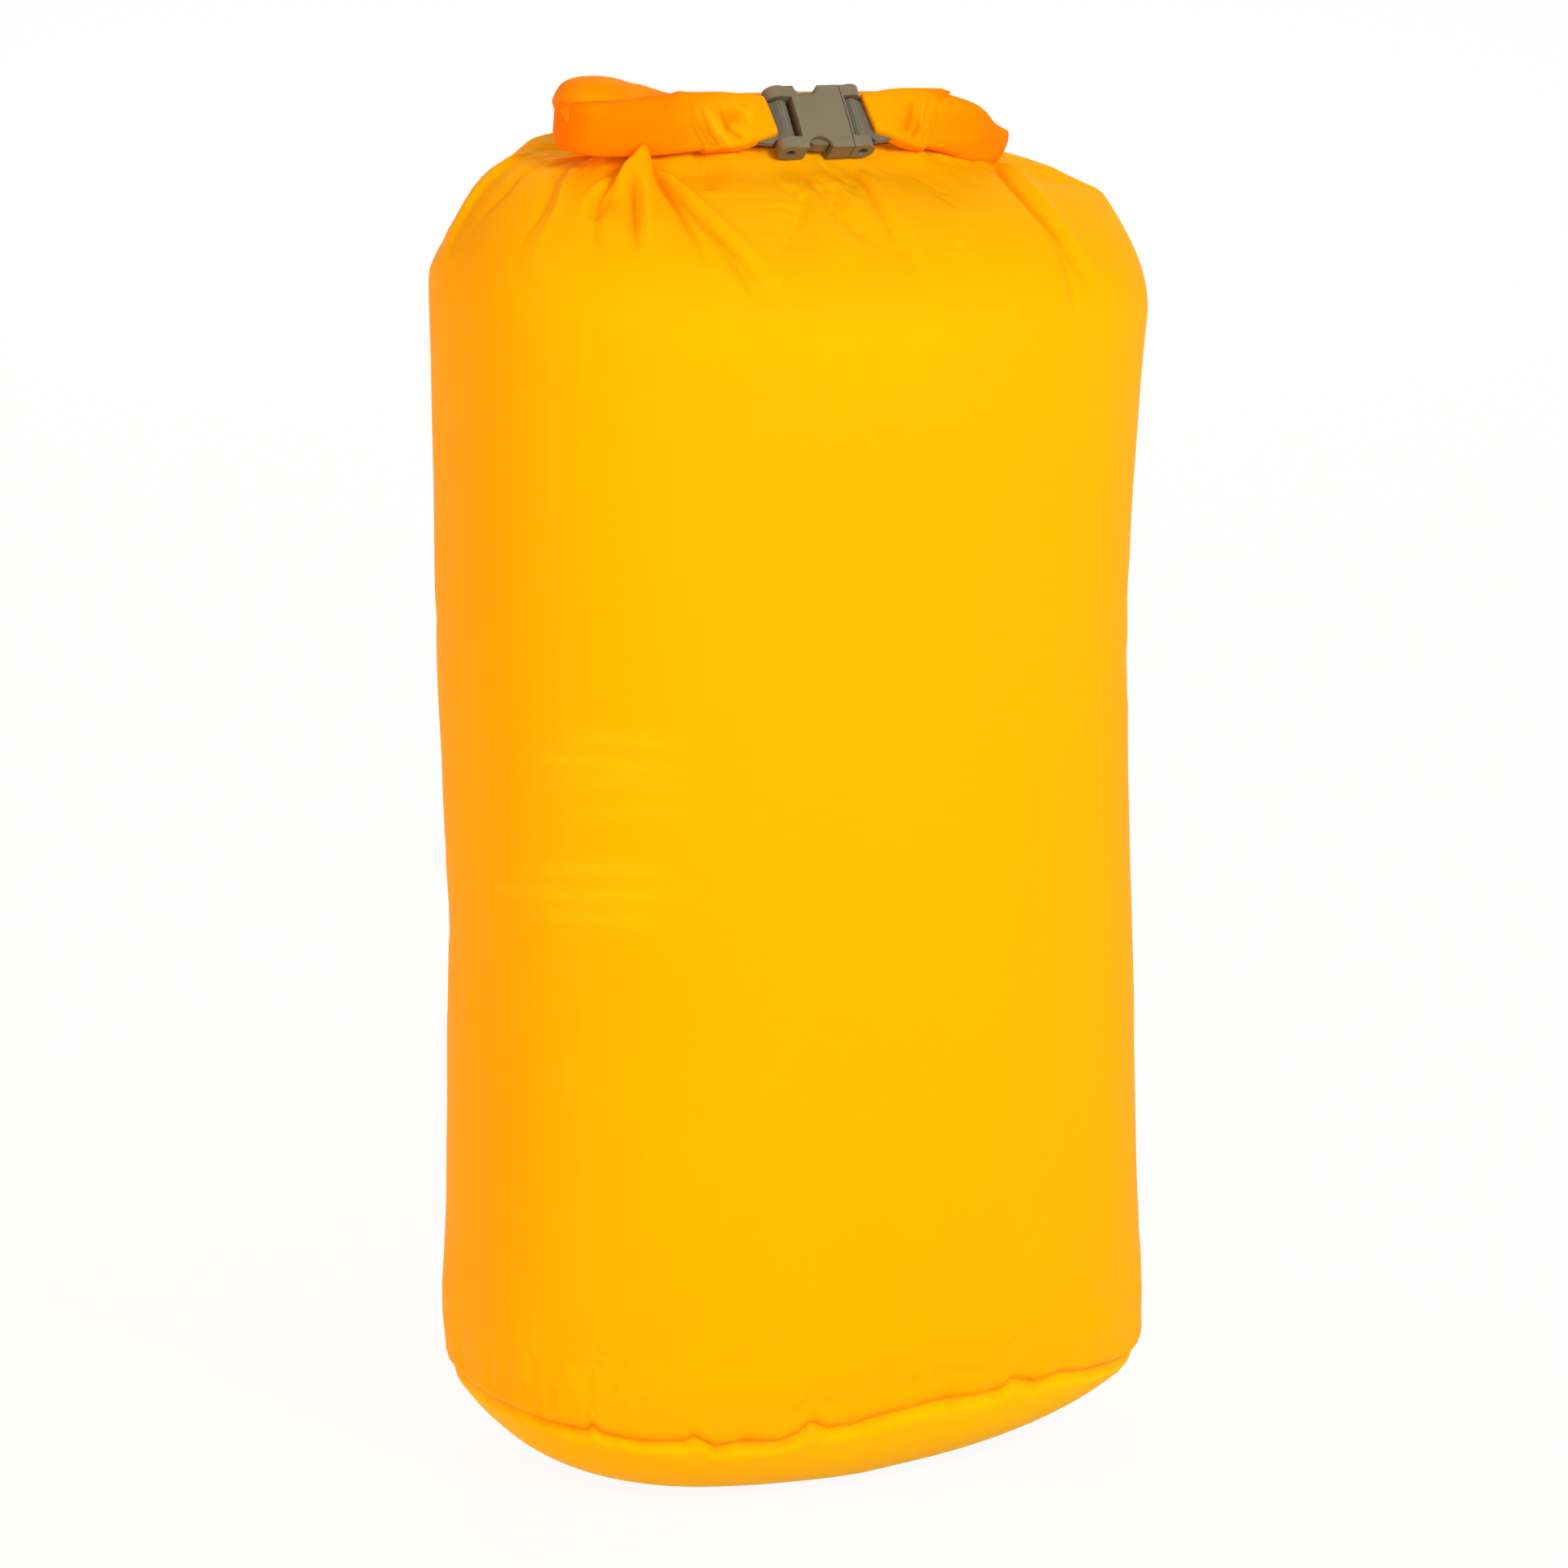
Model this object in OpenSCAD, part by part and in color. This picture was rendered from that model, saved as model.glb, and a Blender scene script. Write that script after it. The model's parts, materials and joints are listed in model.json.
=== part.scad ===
// Roll-top stuff sack of thin coated fabric, filled and standing, in millimetres.
// +Z is up, X runs along the rolled mouth and -Y is the front, where the buckle is.
// The origin is on the floor, under the middle of the base.

/* [Sack] */
// Width of the full sack at the shoulder
sack_w = 265; // [235:1:310]
// Depth of the full sack at the shoulder
sack_d = 186; // [165:1:235]
// Height of the shoulder, where the sides turn in to the neck
shoulder_z = 440; // [360:1:520]
// Rise of the dome from the shoulder to the neck
dome_h = 52; // [44:1:78]
// Amount by which each side draws in at half height
waist_draw = 3.6; // [0:0.1:8]
// Squareness of the oval outline, 2 for an ellipse
outline_power = 2.45; // [2:0.05:2.8]
// Slope of the dome at its two ends, 1 for a round shoulder
end_slope = 0.9; // [0.7:0.1:2]
// Slope of the dome at its front and back
front_slope = 0.7; // [0.5:0.1:1.5]
// Slope of the filled sack's top, its right end the lower
slump = 4.5; // [0:0.5:6]
// Thickness of the coated fabric as modelled
wall = 1.2; // [0.8:0.1:2]

/* [Base] */
// Height of the seam between the base panel and the sides
seam_z = 30; // [20:1:36]
// Height at which the rounded bottom edge meets the upright sides
edge_rise = 54; // [50:1:75]
// Distance from the outline to the flat that the sack rests on
foot_inset = 46; // [30:1:52]
// Width of the turned-in seam edges inside
allowance_w = 9; // [6:0.5:14]
// Width of the sealing tapes inside
tape_w = 18; // [15:0.5:26]
// Thickness of the sealing tapes
tape_t = 0.5; // [0.3:0.1:1]

/* [Rolled mouth] */
// Diameter of the rolled mouth
roll_d = 20; // [17:0.5:26]
// Turns of fabric in the roll
roll_turns = 3; // [2:1:4]
// Fabric thickness of one turn, both plies
ply_t = 0.7; // [0.5:0.1:0.8]
// Half length of the roll's straight back run
roll_hw = 68; // [58:1:85]
// Place of the roll's middle across the sack
roll_x = -4; // [-12:0.5:12]
// Distance of the roll behind the middle of the sack
roll_y = 11; // [6:0.5:16]
// Height of the flat neck between the dome and the roll
neck_rise = 1; // [0.5:0.5:12]
// Thickness of the flat neck
neck_t = 8; // [5:0.5:10]
// Distance from the back run to the front arms
loop_depth = 24; // [22.5:0.5:36]
// Thickness of the front arms
arm_t = 11; // [8:0.5:12]
// Rise of the loop from the roll to the front arms
arm_rise = 5.5; // [0:0.5:9]
// Width of the stiffener strip inside the roll
strip_w = 11; // [8:0.5:11.5]
// Thickness of the stiffener strip
strip_t = 1; // [0.6:0.1:1.4]

/* [Buckle] */
// Width of the webbing
webbing_w = 16; // [14:0.5:20]
// Thickness of the webbing
webbing_t = 1.2; // [0.8:0.1:1.4]
// Length of the webbing tail past the bar
tail_len = 12.5; // [10:0.5:18]
// Length of the socket half
female_len = 28.5; // [27:0.5:34]
// Visible length of the plug half
male_len = 8.7; // [8.4:0.1:11]
// Thickness of the buckle and of the round bosses at its bars
buckle_t = 9; // [8.5:0.1:11]
// Length of each round boss along the bar
boss_len = 4.65; // [4:0.05:6]
// Diameter of the removable bar pins
pin_d = 3.5; // [2.5:0.1:3.8]
// Depth of the pin ends below the boss ends
pin_recess = 2; // [1:0.1:3]
// Length of the side windows
waist_len = 9.5; // [8.5:0.1:11]
// Depth of the side windows
waist_depth = 4.5; // [4:0.1:5.2]
// Side wall beside the mouth of the socket
mouth_wall = 3.45; // [2.8:0.05:3.8]
// Front and back wall of the socket
plate_wall = 1.9; // [1.4:0.1:2.2]
// Fullness of the front and back faces
crown = 0.6; // [0.3:0.1:1]
// Hold of the prongs behind the window edge
latch_hold = 1; // [0.5:0.1:1.3]
// Lean of the buckle, its top towards the back
buckle_tilt = 46; // [10:1:55]
// Place of the buckle along the roll, from the roll's middle
buckle_x = 7; // [-8:0.5:10]
// Height of the buckle's middle over the middle of the arms
buckle_lift = 0.8; // [0:0.1:4]
// Step of the buckle in front of the arms
buckle_step = 2.5; // [0:0.5:6]
// Distance that each buckle half pulls back
pull_travel = 10; // [8:0.5:12]

/* [Hidden] */

fabric = [1.0, 0.66, 0.02];
fabric_shade = [1.0, 0.50, 0.02];
tape_grey = [0.86, 0.86, 0.82];
webbing_grey = [0.52, 0.52, 0.43];
buckle_taupe = [0.55, 0.51, 0.42];
pin_grey = [0.42, 0.40, 0.36];

// Clearances
soft_gap = 0.3;
run_gap = 0.3;
pin_gap = 0.05;
fit_gap = 0.4;
over = 1;
webbing_gap = 0.15;

// Facets of the soft forms and fineness of the turned ones
outline_sides = 48;
section_sides = 24;
$fn = 48;

// Sack levels
neck_z = shoulder_z + dome_h;
waist_z = (shoulder_z + edge_rise) / 2;
neck_hw = roll_hw - wall;
roll_z = neck_z + neck_rise + roll_d / 2;
seam_angle = acos(1 - seam_z / edge_rise);
edge_steps = 4;
side_steps = 6;
dome_steps = 9;
base_steps = 6;

// Roll and loop, in the roll's own frame: its middle at the origin, x along it
turn_gap = 0.35;
roll_pitch = ply_t + turn_gap;
arm_y = -loop_depth;
arm_z = arm_rise;
bend_x = roll_hw + soft_gap;
bend_steps = 12;
arm_steps = 10;
sleeve_wall = 1;
strip_gap_h = 0.6;
strip_gap_t = 0.9;

// Buckle, in its own frame: x along the pull, y through the thickness, z across the webbing
parting_gap = run_gap;
closed_len = female_len + parting_gap + male_len;
slot_w = webbing_w + 4 * soft_gap;
buckle_w = slot_w + 2 * boss_len;
female_x = -closed_len / 2;
mouth_x = female_x + female_len;
male_x = mouth_x + parting_gap;
bar_x = closed_len / 2 - buckle_t / 2;
bore_d = pin_d + 2 * pin_gap;
web_t = 2.2;
cavity_x = web_t - bar_x + buckle_t / 2;
cavity_w = buckle_w - 2 * mouth_wall;
cavity_t = buckle_t - 2 * plate_wall;
window_lap = 0.5;
window_x = cavity_x + waist_len - window_lap;
prong_t = cavity_t - 2 * fit_gap;
prong_r = 1.3;
prong_inset = 3;
prong_x = male_x - run_gap - prong_r;
prong_z = cavity_w / 2 - prong_inset;
prong_taper = 0.6;
nose_x = cavity_x + fit_gap;
shoulder_x = window_x - run_gap;
lobe_r = 3.6;
lobe_step = lobe_r / 2;
lobe_z = cavity_w / 2 + latch_hold - sqrt(lobe_r * lobe_r - lobe_step * lobe_step);
prong_inner = 5;
tongue_w = 4;
tongue_clear = 2;
tongue_tip = cavity_x + tongue_clear;
sleeve_room = 4.4;
sleeve_slack = 2.2;
arm_end_t = 2 * (webbing_t + sleeve_wall) + sleeve_room;
arm_end_h = webbing_w + 2 * (soft_gap + sleeve_wall) + sleeve_slack;
tab_turn = pin_d / 2 + webbing_gap;
ply_gap = 0.1;
tail_half = webbing_t + ply_gap / 2;
tab_turn_len = 3;
buckle_y = arm_y - buckle_step;
buckle_z = arm_z + buckle_lift;
arm_gap = 0.5;

// Sack surface
function smooth(t) = t * t * (3 - 2 * t);
function power(v, p) = sign(v) * pow(abs(v), p);
function draw(z) = waist_draw * max(0, 1 - pow((z - waist_z) / (shoulder_z - waist_z), 2));

// A level is [height, half width, half depth, x of its middle, y of its middle]
function side_level(z, inset) = [z, sack_w / 2 - draw(z) - inset, sack_d / 2 - draw(z) - inset, 0, 0];
function edge_level(angle) = side_level(edge_rise * (1 - cos(angle)), foot_inset * (1 - sin(angle)));
function dome_level(angle) = [
    shoulder_z + dome_h * sin(angle),
    neck_hw + (sack_w / 2 - neck_hw) * pow(cos(angle), end_slope),
    neck_t / 2 + (sack_d / 2 - neck_t / 2) * pow(cos(angle), front_slope),
    roll_x * (1 - cos(angle)),
    roll_y * (1 - pow(cos(angle), front_slope))
];
function inward(l, d, lift = 0) = [l[0] + lift, l[1] - d, l[2] - d, l[3], l[4]];
function raised(l, z) = [z, l[1], l[2], l[3], l[4]];

// The top slopes to one end: a level falls away from the roll's middle, more the higher it is
function share_up(z) = max(0, min(1, (z - edge_rise) / (neck_z - edge_rise)));
function sunk(x, z) = (x - roll_x) * tan(slump) * smooth(share_up(z));
function outline_point(l, a) =
    let (
        x = l[3] + l[1] * power(cos(a), 2 / outline_power),
        y = l[4] + l[2] * power(sin(a), 2 / outline_power)
    ) [x, y, l[0] - sunk(x, l[0])];
function outline(l) = [for (i = [0 : outline_sides - 1]) outline_point(l, 360 * i / outline_sides)];

edge_levels = [for (i = [0 : edge_steps]) edge_level(seam_angle + (90 - seam_angle) * i / edge_steps)];
side_levels = [
    for (i = [1 : side_steps]) side_level(edge_rise + (shoulder_z - edge_rise) * i / side_steps, 0)
];
dome_levels = [for (i = [1 : dome_steps]) dome_level(90 * i / dome_steps)];
neck_level = raised(dome_levels[dome_steps - 1], neck_z + neck_rise - soft_gap);
body_levels = concat(edge_levels, side_levels, dome_levels, [neck_level]);
base_levels = [for (i = [0 : base_steps]) edge_level(seam_angle * i / base_steps)];

// Band of faces between ring k and ring k + 1 of n points each
function band(k, n, flip) = [
    for (i = [0 : n - 1])
        let (a = k * n + i, b = k * n + (i + 1) % n)
            each flip ? [[a, b + n, b], [a, a + n, b + n]] : [[a, b, b + n], [a, b + n, a + n]]
];

// Closed tube wall from matching lists of outer and inner rings
module tube_wall(outer, inner) {
    n = len(outer[0]);
    rings = len(outer);
    shift = rings * n;
    points = [for (r = concat(outer, inner)) each r];
    outer_faces = [for (k = [0 : rings - 2]) each band(k, n, true)];
    inner_faces = [for (k = [rings : 2 * rings - 2]) each band(k, n, false)];
    foot = [
        for (i = [0 : n - 1])
            let (a = i, b = (i + 1) % n) each [[a, b, b + shift], [a, b + shift, a + shift]]
    ];
    top = (rings - 1) * n;
    head = [
        for (i = [0 : n - 1])
            let (a = top + i, b = top + (i + 1) % n) each [[a, b + shift, b], [a, a + shift, b + shift]]
    ];
    polyhedron(points, concat(outer_faces, inner_faces, foot, head));
}

// Closed bar through a list of rings, capped at both ends
module bar(rings) {
    n = len(rings[0]);
    last = len(rings) - 1;
    sides = [for (k = [0 : last - 1]) each band(k, n, true)];
    caps = [[for (i = [0 : n - 1]) i], [for (i = [n - 1 : -1 : 0]) last * n + i]];
    polyhedron([for (r = rings) each r], concat(sides, caps));
}

// Loop of the collar, drawn on the +X side: bend angle 0 at the roll, 180 at the front arm
function bend_at(a) = [
    bend_x + loop_depth / 2 * sin(a),
    loop_depth / 2 * (cos(a) - 1),
    arm_rise * (1 - cos(a)) / 2
];
function arm_at(x, end_x) =
    let (s = smooth((bend_x - x) / (bend_x - end_x)))
        [x, arm_y + (buckle_y - arm_y) * s, arm_z + (buckle_z - arm_z) * s];
function arm_tilt(x, end_x) = buckle_tilt * smooth((bend_x - x) / (bend_x - end_x));

// Oval section round a point, across and up being the directions of its half sizes
function section(p, across, up, ht, hh, squareness) = [
    for (i = [0 : section_sides - 1])
        let (a = 360 * i / section_sides)
            p + across * ht * power(cos(a), 2 / squareness) + up * hh * power(sin(a), 2 / squareness)
];
function bend_section(a, ht, hh, squareness) =
    section(bend_at(a), [sin(a), cos(a), 0], [0, 0, 1], ht, hh, squareness);
function arm_section(x, end_x, ht, hh, squareness) =
    let (t = arm_tilt(x, end_x))
        section(arm_at(x, end_x), [0, -cos(t), sin(t)], [0, sin(t), cos(t)], ht, hh, squareness);
function bend_ht(a) = (roll_d + (arm_t - roll_d) * smooth(a / 180)) / 2;

strip_hh = strip_w / 2;
strip_ht = strip_t / 2;
pocket_hh = strip_hh + strip_gap_h;
pocket_ht = strip_ht + strip_gap_t;
pocket_power = 6;
roll_power = 2;
arm_power = 2.6;
bend_angles = [for (i = [0 : bend_steps]) 180 * i / bend_steps];
function bend_squareness(a) = roll_power + (arm_power - roll_power) * a / 180;

module collar_bend() {
    outer = [for (a = bend_angles) bend_section(a, bend_ht(a), roll_d / 2, bend_squareness(a))];
    inner = [for (a = bend_angles) bend_section(a, pocket_ht, pocket_hh, pocket_power)];
    tube_wall(outer, inner);
}

// Front arm from the bend to the buckle, a flat sleeve that the webbing tab goes into
module collar_end(end_x) {
    stations = [for (i = [0 : arm_steps]) bend_x + (end_x - bend_x) * i / arm_steps];
    shares = [for (x = stations) smooth((bend_x - x) / (bend_x - end_x))];
    outer = [
        for (i = [0 : arm_steps])
            arm_section(stations[i], end_x, (arm_t + (arm_end_t - arm_t) * shares[i]) / 2,
                        (roll_d + (arm_end_h - roll_d) * shares[i]) / 2, arm_power)
    ];
    inner = [
        for (i = [0 : arm_steps])
            arm_section(stations[i], end_x, pocket_ht + (arm_end_t / 2 - sleeve_wall - pocket_ht) * shares[i],
                        pocket_hh + (arm_end_h / 2 - sleeve_wall - pocket_hh) * shares[i],
                        pocket_power + (arm_power - pocket_power) * shares[i])
    ];
    tube_wall(outer, inner);
}

// Flat section of the stiffener strip round a point
function strip_section(p, across, up) = [
    for (c = [[1, 1], [-1, 1], [-1, -1], [1, -1]]) p + across * c[0] * strip_ht + up * c[1] * strip_hh
];

// Strip through the bend and into the arm, ending clear of the webbing tail's travel
module loop_stiffener(end_x) {
    stop_x = max(end_x + tail_len + pull_travel, (bend_x + end_x) / 2);
    bend_rings = [for (a = bend_angles) strip_section(bend_at(a), [sin(a), cos(a), 0], [0, 0, 1])];
    arm_rings = [
        for (i = [1 : arm_steps])
            let (x = bend_x + (stop_x - bend_x) * i / arm_steps, t = arm_tilt(x, end_x))
                strip_section(arm_at(x, end_x), [0, -cos(t), sin(t)], [0, sin(t), cos(t)])
    ];
    bar(concat(bend_rings, arm_rings));
}

left_end_x = -(buckle_x + female_x) + arm_gap;
right_end_x = buckle_x - female_x + arm_gap;

// Soft goods
module sack_body() {
    color(fabric)
        tube_wall([for (l = body_levels) outline(l)], [for (l = body_levels) outline(inward(l, wall))]);
}

module base_panel() {
    rim = len(base_levels) - 1;
    outer = [for (i = [rim : -1 : 0]) outline(base_levels[i])];
    inner = [for (l = base_levels) outline(inward(l, wall, wall * (1 - l[0] / seam_z)))];
    color(fabric) bar(concat(inner, outer));
}

// Ring on the inside of the sides just above the base seam
module seam_ring(depth, thickness, width) {
    foot_z = seam_z + soft_gap;
    steps = 3;
    levels = [
        for (i = [0 : steps])
            edge_level(acos(1 - (foot_z + width * i / steps) / edge_rise))
    ];
    outer = [for (l = levels) outline(inward(l, depth))];
    inner = [for (l = levels) outline(inward(l, depth + thickness))];
    tube_wall(outer, inner);
}

allowance_depth = wall + soft_gap;
base_tape_depth = allowance_depth + wall + soft_gap;

module base_seam_allowance() {
    color(fabric_shade) seam_ring(allowance_depth, wall, allowance_w);
}

module base_seam_tape() {
    color(tape_grey) seam_ring(base_tape_depth, tape_t, tape_w);
}

// Tape up the middle of the back, inside, over the seam that closes the tube
module side_seam_tape() {
    half_angle = asin(tape_w / sack_w);
    rings = [
        for (l = concat([side_level(edge_rise, 0)], side_levels))
            let (o = inward(l, allowance_depth), i = inward(l, allowance_depth + tape_t))
                [for (a = [90 + half_angle, 90, 90 - half_angle]) outline_point(o, a),
                 for (a = [90 - half_angle, 90, 90 + half_angle]) outline_point(i, a)]
    ];
    color(tape_grey) bar(rings);
}

// Frame of the roll, which slopes with the top of the sack
module at_roll() {
    translate([roll_x, roll_y, roll_z]) rotate([0, slump, 0]) children();
}

// The mouth rolled up: one strip wound in a spiral that leaves the roll at the neck
function coil_point(turn, r) = let (a = -90 + 360 * turn) [r * cos(a), r * sin(a)];
coil_steps = 36;
coil_outer = [
    for (i = [0 : roll_turns * coil_steps])
        coil_point(i / coil_steps, roll_d / 2 - roll_pitch * i / coil_steps)
];
coil_inner = [
    for (i = [roll_turns * coil_steps : -1 : 0])
        coil_point(i / coil_steps, roll_d / 2 - ply_t - roll_pitch * i / coil_steps)
];

module rolled_collar() {
    color(fabric_shade)
        at_roll()
            rotate([90, 0, 90])
                linear_extrude(2 * roll_hw, center = true) polygon(concat(coil_outer, coil_inner));
}

module back_stiffener() {
    color(webbing_grey)
        at_roll() cube([2 * roll_hw, strip_t, strip_w], center = true);
}

module right_bend() { color(fabric_shade) at_roll() collar_bend(); }
module left_bend() { color(fabric_shade) at_roll() mirror([1, 0, 0]) collar_bend(); }
module right_collar_end() { color(fabric) at_roll() collar_end(right_end_x); }
module left_collar_end() { color(fabric) at_roll() mirror([1, 0, 0]) collar_end(left_end_x); }
module right_stiffener() { color(webbing_grey) at_roll() loop_stiffener(right_end_x); }
module left_stiffener() { color(webbing_grey) at_roll() mirror([1, 0, 0]) loop_stiffener(left_end_x); }

// Buckle
module at_buckle() {
    at_roll() translate([buckle_x, buckle_y, buckle_z]) rotate([-buckle_tilt, 0, 0]) children();
}

// Plate through the whole thickness from an outline in x and z
module plate(thickness) {
    rotate([90, 0, 0]) linear_extrude(thickness, center = true) children();
}

// Crowned stock that the buckle halves are cut from
module crowned_stock() {
    r = (buckle_w * buckle_w / 4 + crown * crown) / (2 * crown);
    rotate([0, 90, 0])
        linear_extrude(closed_len, center = true)
            intersection_for (side = [-1, 1])
                translate([0, side * (r - buckle_t / 2)]) circle(r, $fn = 180);
}

module bosses(x) {
    for (side = [-1, 1])
        translate([x, 0, side * (buckle_w - boss_len) / 2])
            cylinder(d = buckle_t, h = boss_len, center = true);
}

module pin_bore(x) {
    translate([x, 0, 0]) cylinder(d = bore_d, h = buckle_w + 2 * over, center = true);
}

module bar_pin(x) {
    translate([x, 0, 0]) cylinder(d = pin_d, h = buckle_w - 2 * pin_recess, center = true);
}

// Side window outlines: round-ended cuts from the long edges
module waist_cuts() {
    for (side = [-1, 1])
        translate([0, side * buckle_w / 2]) {
            for (x = [window_x - waist_len + waist_depth, window_x - waist_depth])
                translate([x, 0]) circle(waist_depth);
            translate([window_x - waist_len + waist_depth, -waist_depth])
                square([max(waist_len - 2 * waist_depth, webbing_gap), 2 * waist_depth]);
        }
}

module buckle_female() {
    color(buckle_taupe) at_buckle() difference() {
        union() {
            intersection() {
                crowned_stock();
                plate(buckle_t + over) difference() {
                    translate([-bar_x, -buckle_w / 2]) square([mouth_x + bar_x, buckle_w]);
                    waist_cuts();
                }
            }
            bosses(-bar_x);
        }
        translate([cavity_x, -cavity_t / 2, -cavity_w / 2])
            cube([mouth_x - cavity_x + over, cavity_t, cavity_w]);
        translate([cavity_x, -cavity_t / 2, -buckle_w])
            cube([window_x - cavity_x, cavity_t, 2 * buckle_w]);
        translate([female_x - over, -buckle_t, -slot_w / 2])
            cube([cavity_x - web_t - female_x + over, 2 * buckle_t, slot_w]);
        pin_bore(-bar_x);
    }
}

module buckle_male() {
    slot_x = bar_x - tab_turn - webbing_t - soft_gap;
    color(buckle_taupe) at_buckle() {
        difference() {
            union() {
                intersection() {
                    crowned_stock();
                    plate(buckle_t + over)
                        translate([male_x, -buckle_w / 2]) square([bar_x - male_x, buckle_w]);
                }
                intersection() {
                    bosses(bar_x);
                    translate([male_x, -buckle_t, -buckle_w])
                        cube([closed_len, 2 * buckle_t, 2 * buckle_w]);
                }
            }
            translate([slot_x, -buckle_t, -slot_w / 2]) cube([closed_len, 2 * buckle_t, slot_w]);
            pin_bore(bar_x);
        }
        translate([tongue_tip, -prong_t / 2, -tongue_w / 2])
            cube([male_x - tongue_tip + over, prong_t, tongue_w]);
    }
}

// Sprung prong above the tongue: round root, slim arm and a lobe with a square latch shoulder
module prong() {
    plate(prong_t) {
        translate([prong_x, prong_z]) circle(prong_r);
        polygon([[prong_x, prong_z - prong_r], [prong_x, prong_z + prong_r],
                 [shoulder_x, prong_z + prong_r + prong_taper], [shoulder_x, prong_inner]]);
        intersection() {
            union() {
                for (x = [nose_x + lobe_r, shoulder_x - lobe_step])
                    translate([x, lobe_z]) circle(lobe_r);
                translate([nose_x + lobe_r, lobe_z - lobe_r])
                    square([shoulder_x - lobe_step - nose_x - lobe_r, 2 * lobe_r]);
            }
            translate([nose_x, prong_inner]) square([shoulder_x - nose_x, buckle_w]);
        }
    }
}

module upper_prong() { color(buckle_taupe) at_buckle() prong(); }
module lower_prong() { color(buckle_taupe) at_buckle() mirror([0, 0, 1]) prong(); }
module female_pin() { color(pin_grey) at_buckle() bar_pin(-bar_x); }
module male_pin() { color(pin_grey) at_buckle() bar_pin(bar_x); }

// Angle at which a line from the far point p touches a circle of radius r round the origin
function touch(p, r) = atan2(p[1], p[0]) + acos(r / norm(p));
function arc(r, from) = [
    for (i = [0 : tab_steps]) let (a = from + (360 - 2 * from) * i / tab_steps) [r * cos(a), r * sin(a)]
];
tab_steps = 36;

// Webbing folded round a bar, its two plies sewn together in the tail, drawn towards +x
module webbing_tab() {
    turn = tab_turn + webbing_t;
    close_x = turn + tab_turn_len;
    tail = [[close_x, -tail_half], [tail_len, -tail_half], [tail_len, tail_half], [close_x, tail_half]];
    outer = concat(arc(turn, touch([close_x, tail_half], turn)), tail);
    inner = concat(arc(tab_turn, touch([close_x, 0], tab_turn)), [[close_x, 0]]);
    linear_extrude(webbing_w, center = true)
        polygon(concat(outer, inner), [[for (i = [0 : len(outer) - 1]) i],
                                       [for (i = [0 : len(inner) - 1]) len(outer) + i]]);
}

module right_webbing_tab() { color(webbing_grey) at_buckle() translate([bar_x, 0, 0]) webbing_tab(); }
module left_webbing_tab() {
    color(webbing_grey) at_buckle() translate([-bar_x, 0, 0]) mirror([1, 0, 0]) webbing_tab();
}

sack_body();
base_panel();
base_seam_allowance();
base_seam_tape();
side_seam_tape();
rolled_collar();
back_stiffener();
left_bend();
right_bend();
left_collar_end();
right_collar_end();
left_stiffener();
right_stiffener();
buckle_female();
female_pin();
left_webbing_tab();
buckle_male();
male_pin();
right_webbing_tab();
upper_prong();
lower_prong();
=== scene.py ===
"""A stuffed roll-top sack of thin coated cloth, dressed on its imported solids."""

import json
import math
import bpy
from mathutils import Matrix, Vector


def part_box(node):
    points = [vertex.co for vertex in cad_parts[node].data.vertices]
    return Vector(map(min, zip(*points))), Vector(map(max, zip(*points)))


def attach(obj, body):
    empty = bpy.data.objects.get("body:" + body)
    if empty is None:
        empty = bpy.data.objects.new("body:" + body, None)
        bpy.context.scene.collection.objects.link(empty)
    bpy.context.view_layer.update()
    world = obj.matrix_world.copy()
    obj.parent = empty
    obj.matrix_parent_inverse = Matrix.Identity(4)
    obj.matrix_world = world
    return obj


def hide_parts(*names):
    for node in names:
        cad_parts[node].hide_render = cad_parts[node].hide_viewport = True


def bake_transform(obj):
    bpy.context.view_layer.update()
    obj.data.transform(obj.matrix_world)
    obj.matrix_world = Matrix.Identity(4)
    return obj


bl_info = {
    "name": "Roll-top stuff sack",
    "version": (1, 0, 0),
    "blender": (4, 5, 0),
    "location": "View3D > Sidebar > Sack",
    "description": "Builds the sack's cloth, rolled mouth, webbing and buckle finishes on the packed solids",
    "category": "Object",
}

import bpy
import numpy as np
from bpy.props import FloatProperty, FloatVectorProperty, IntProperty, PointerProperty
from mathutils import Vector, noise

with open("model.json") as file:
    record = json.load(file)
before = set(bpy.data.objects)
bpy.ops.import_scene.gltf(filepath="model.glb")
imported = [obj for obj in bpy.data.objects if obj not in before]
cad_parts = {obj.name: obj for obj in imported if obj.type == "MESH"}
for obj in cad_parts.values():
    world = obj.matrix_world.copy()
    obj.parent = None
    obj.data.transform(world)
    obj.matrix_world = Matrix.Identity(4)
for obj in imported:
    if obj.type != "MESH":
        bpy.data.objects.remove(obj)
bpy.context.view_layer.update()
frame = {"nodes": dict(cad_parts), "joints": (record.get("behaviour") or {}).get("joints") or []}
JOINTS = {joint["name"]: joint for joint in frame["joints"]}

MM = 0.001

# Points between two stations of a smooth line, along a crease of the sack and along a line on an end panel
STATION_STEPS = 40
CREASE_POINTS = 90
PANEL_POINTS = 60

# Levels that the sack's form is worked out at, over the dome, the wall and the foot, and points round it
DOME_LEVELS = 3000
WALL_LEVELS = 1500
FOOT_LEVELS = 1200
RING_POINTS = 7200

# How the noise is shifted for each seed
NOISE_SHIFT = (1.0, 2.3, 3.1)

# The roll's own frame: its middle, and its axes along, backwards and up
ROLL_MIDDLE = np.array(JOINTS["loop_lift"]["pos_m"])
ROLL_ALONG = -np.array(JOINTS["loop_lift"]["axis"])
ROLL_BACK = np.array([0.0, 1.0, 0.0])
ROLL_UP = np.cross(ROLL_ALONG, ROLL_BACK)

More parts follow.
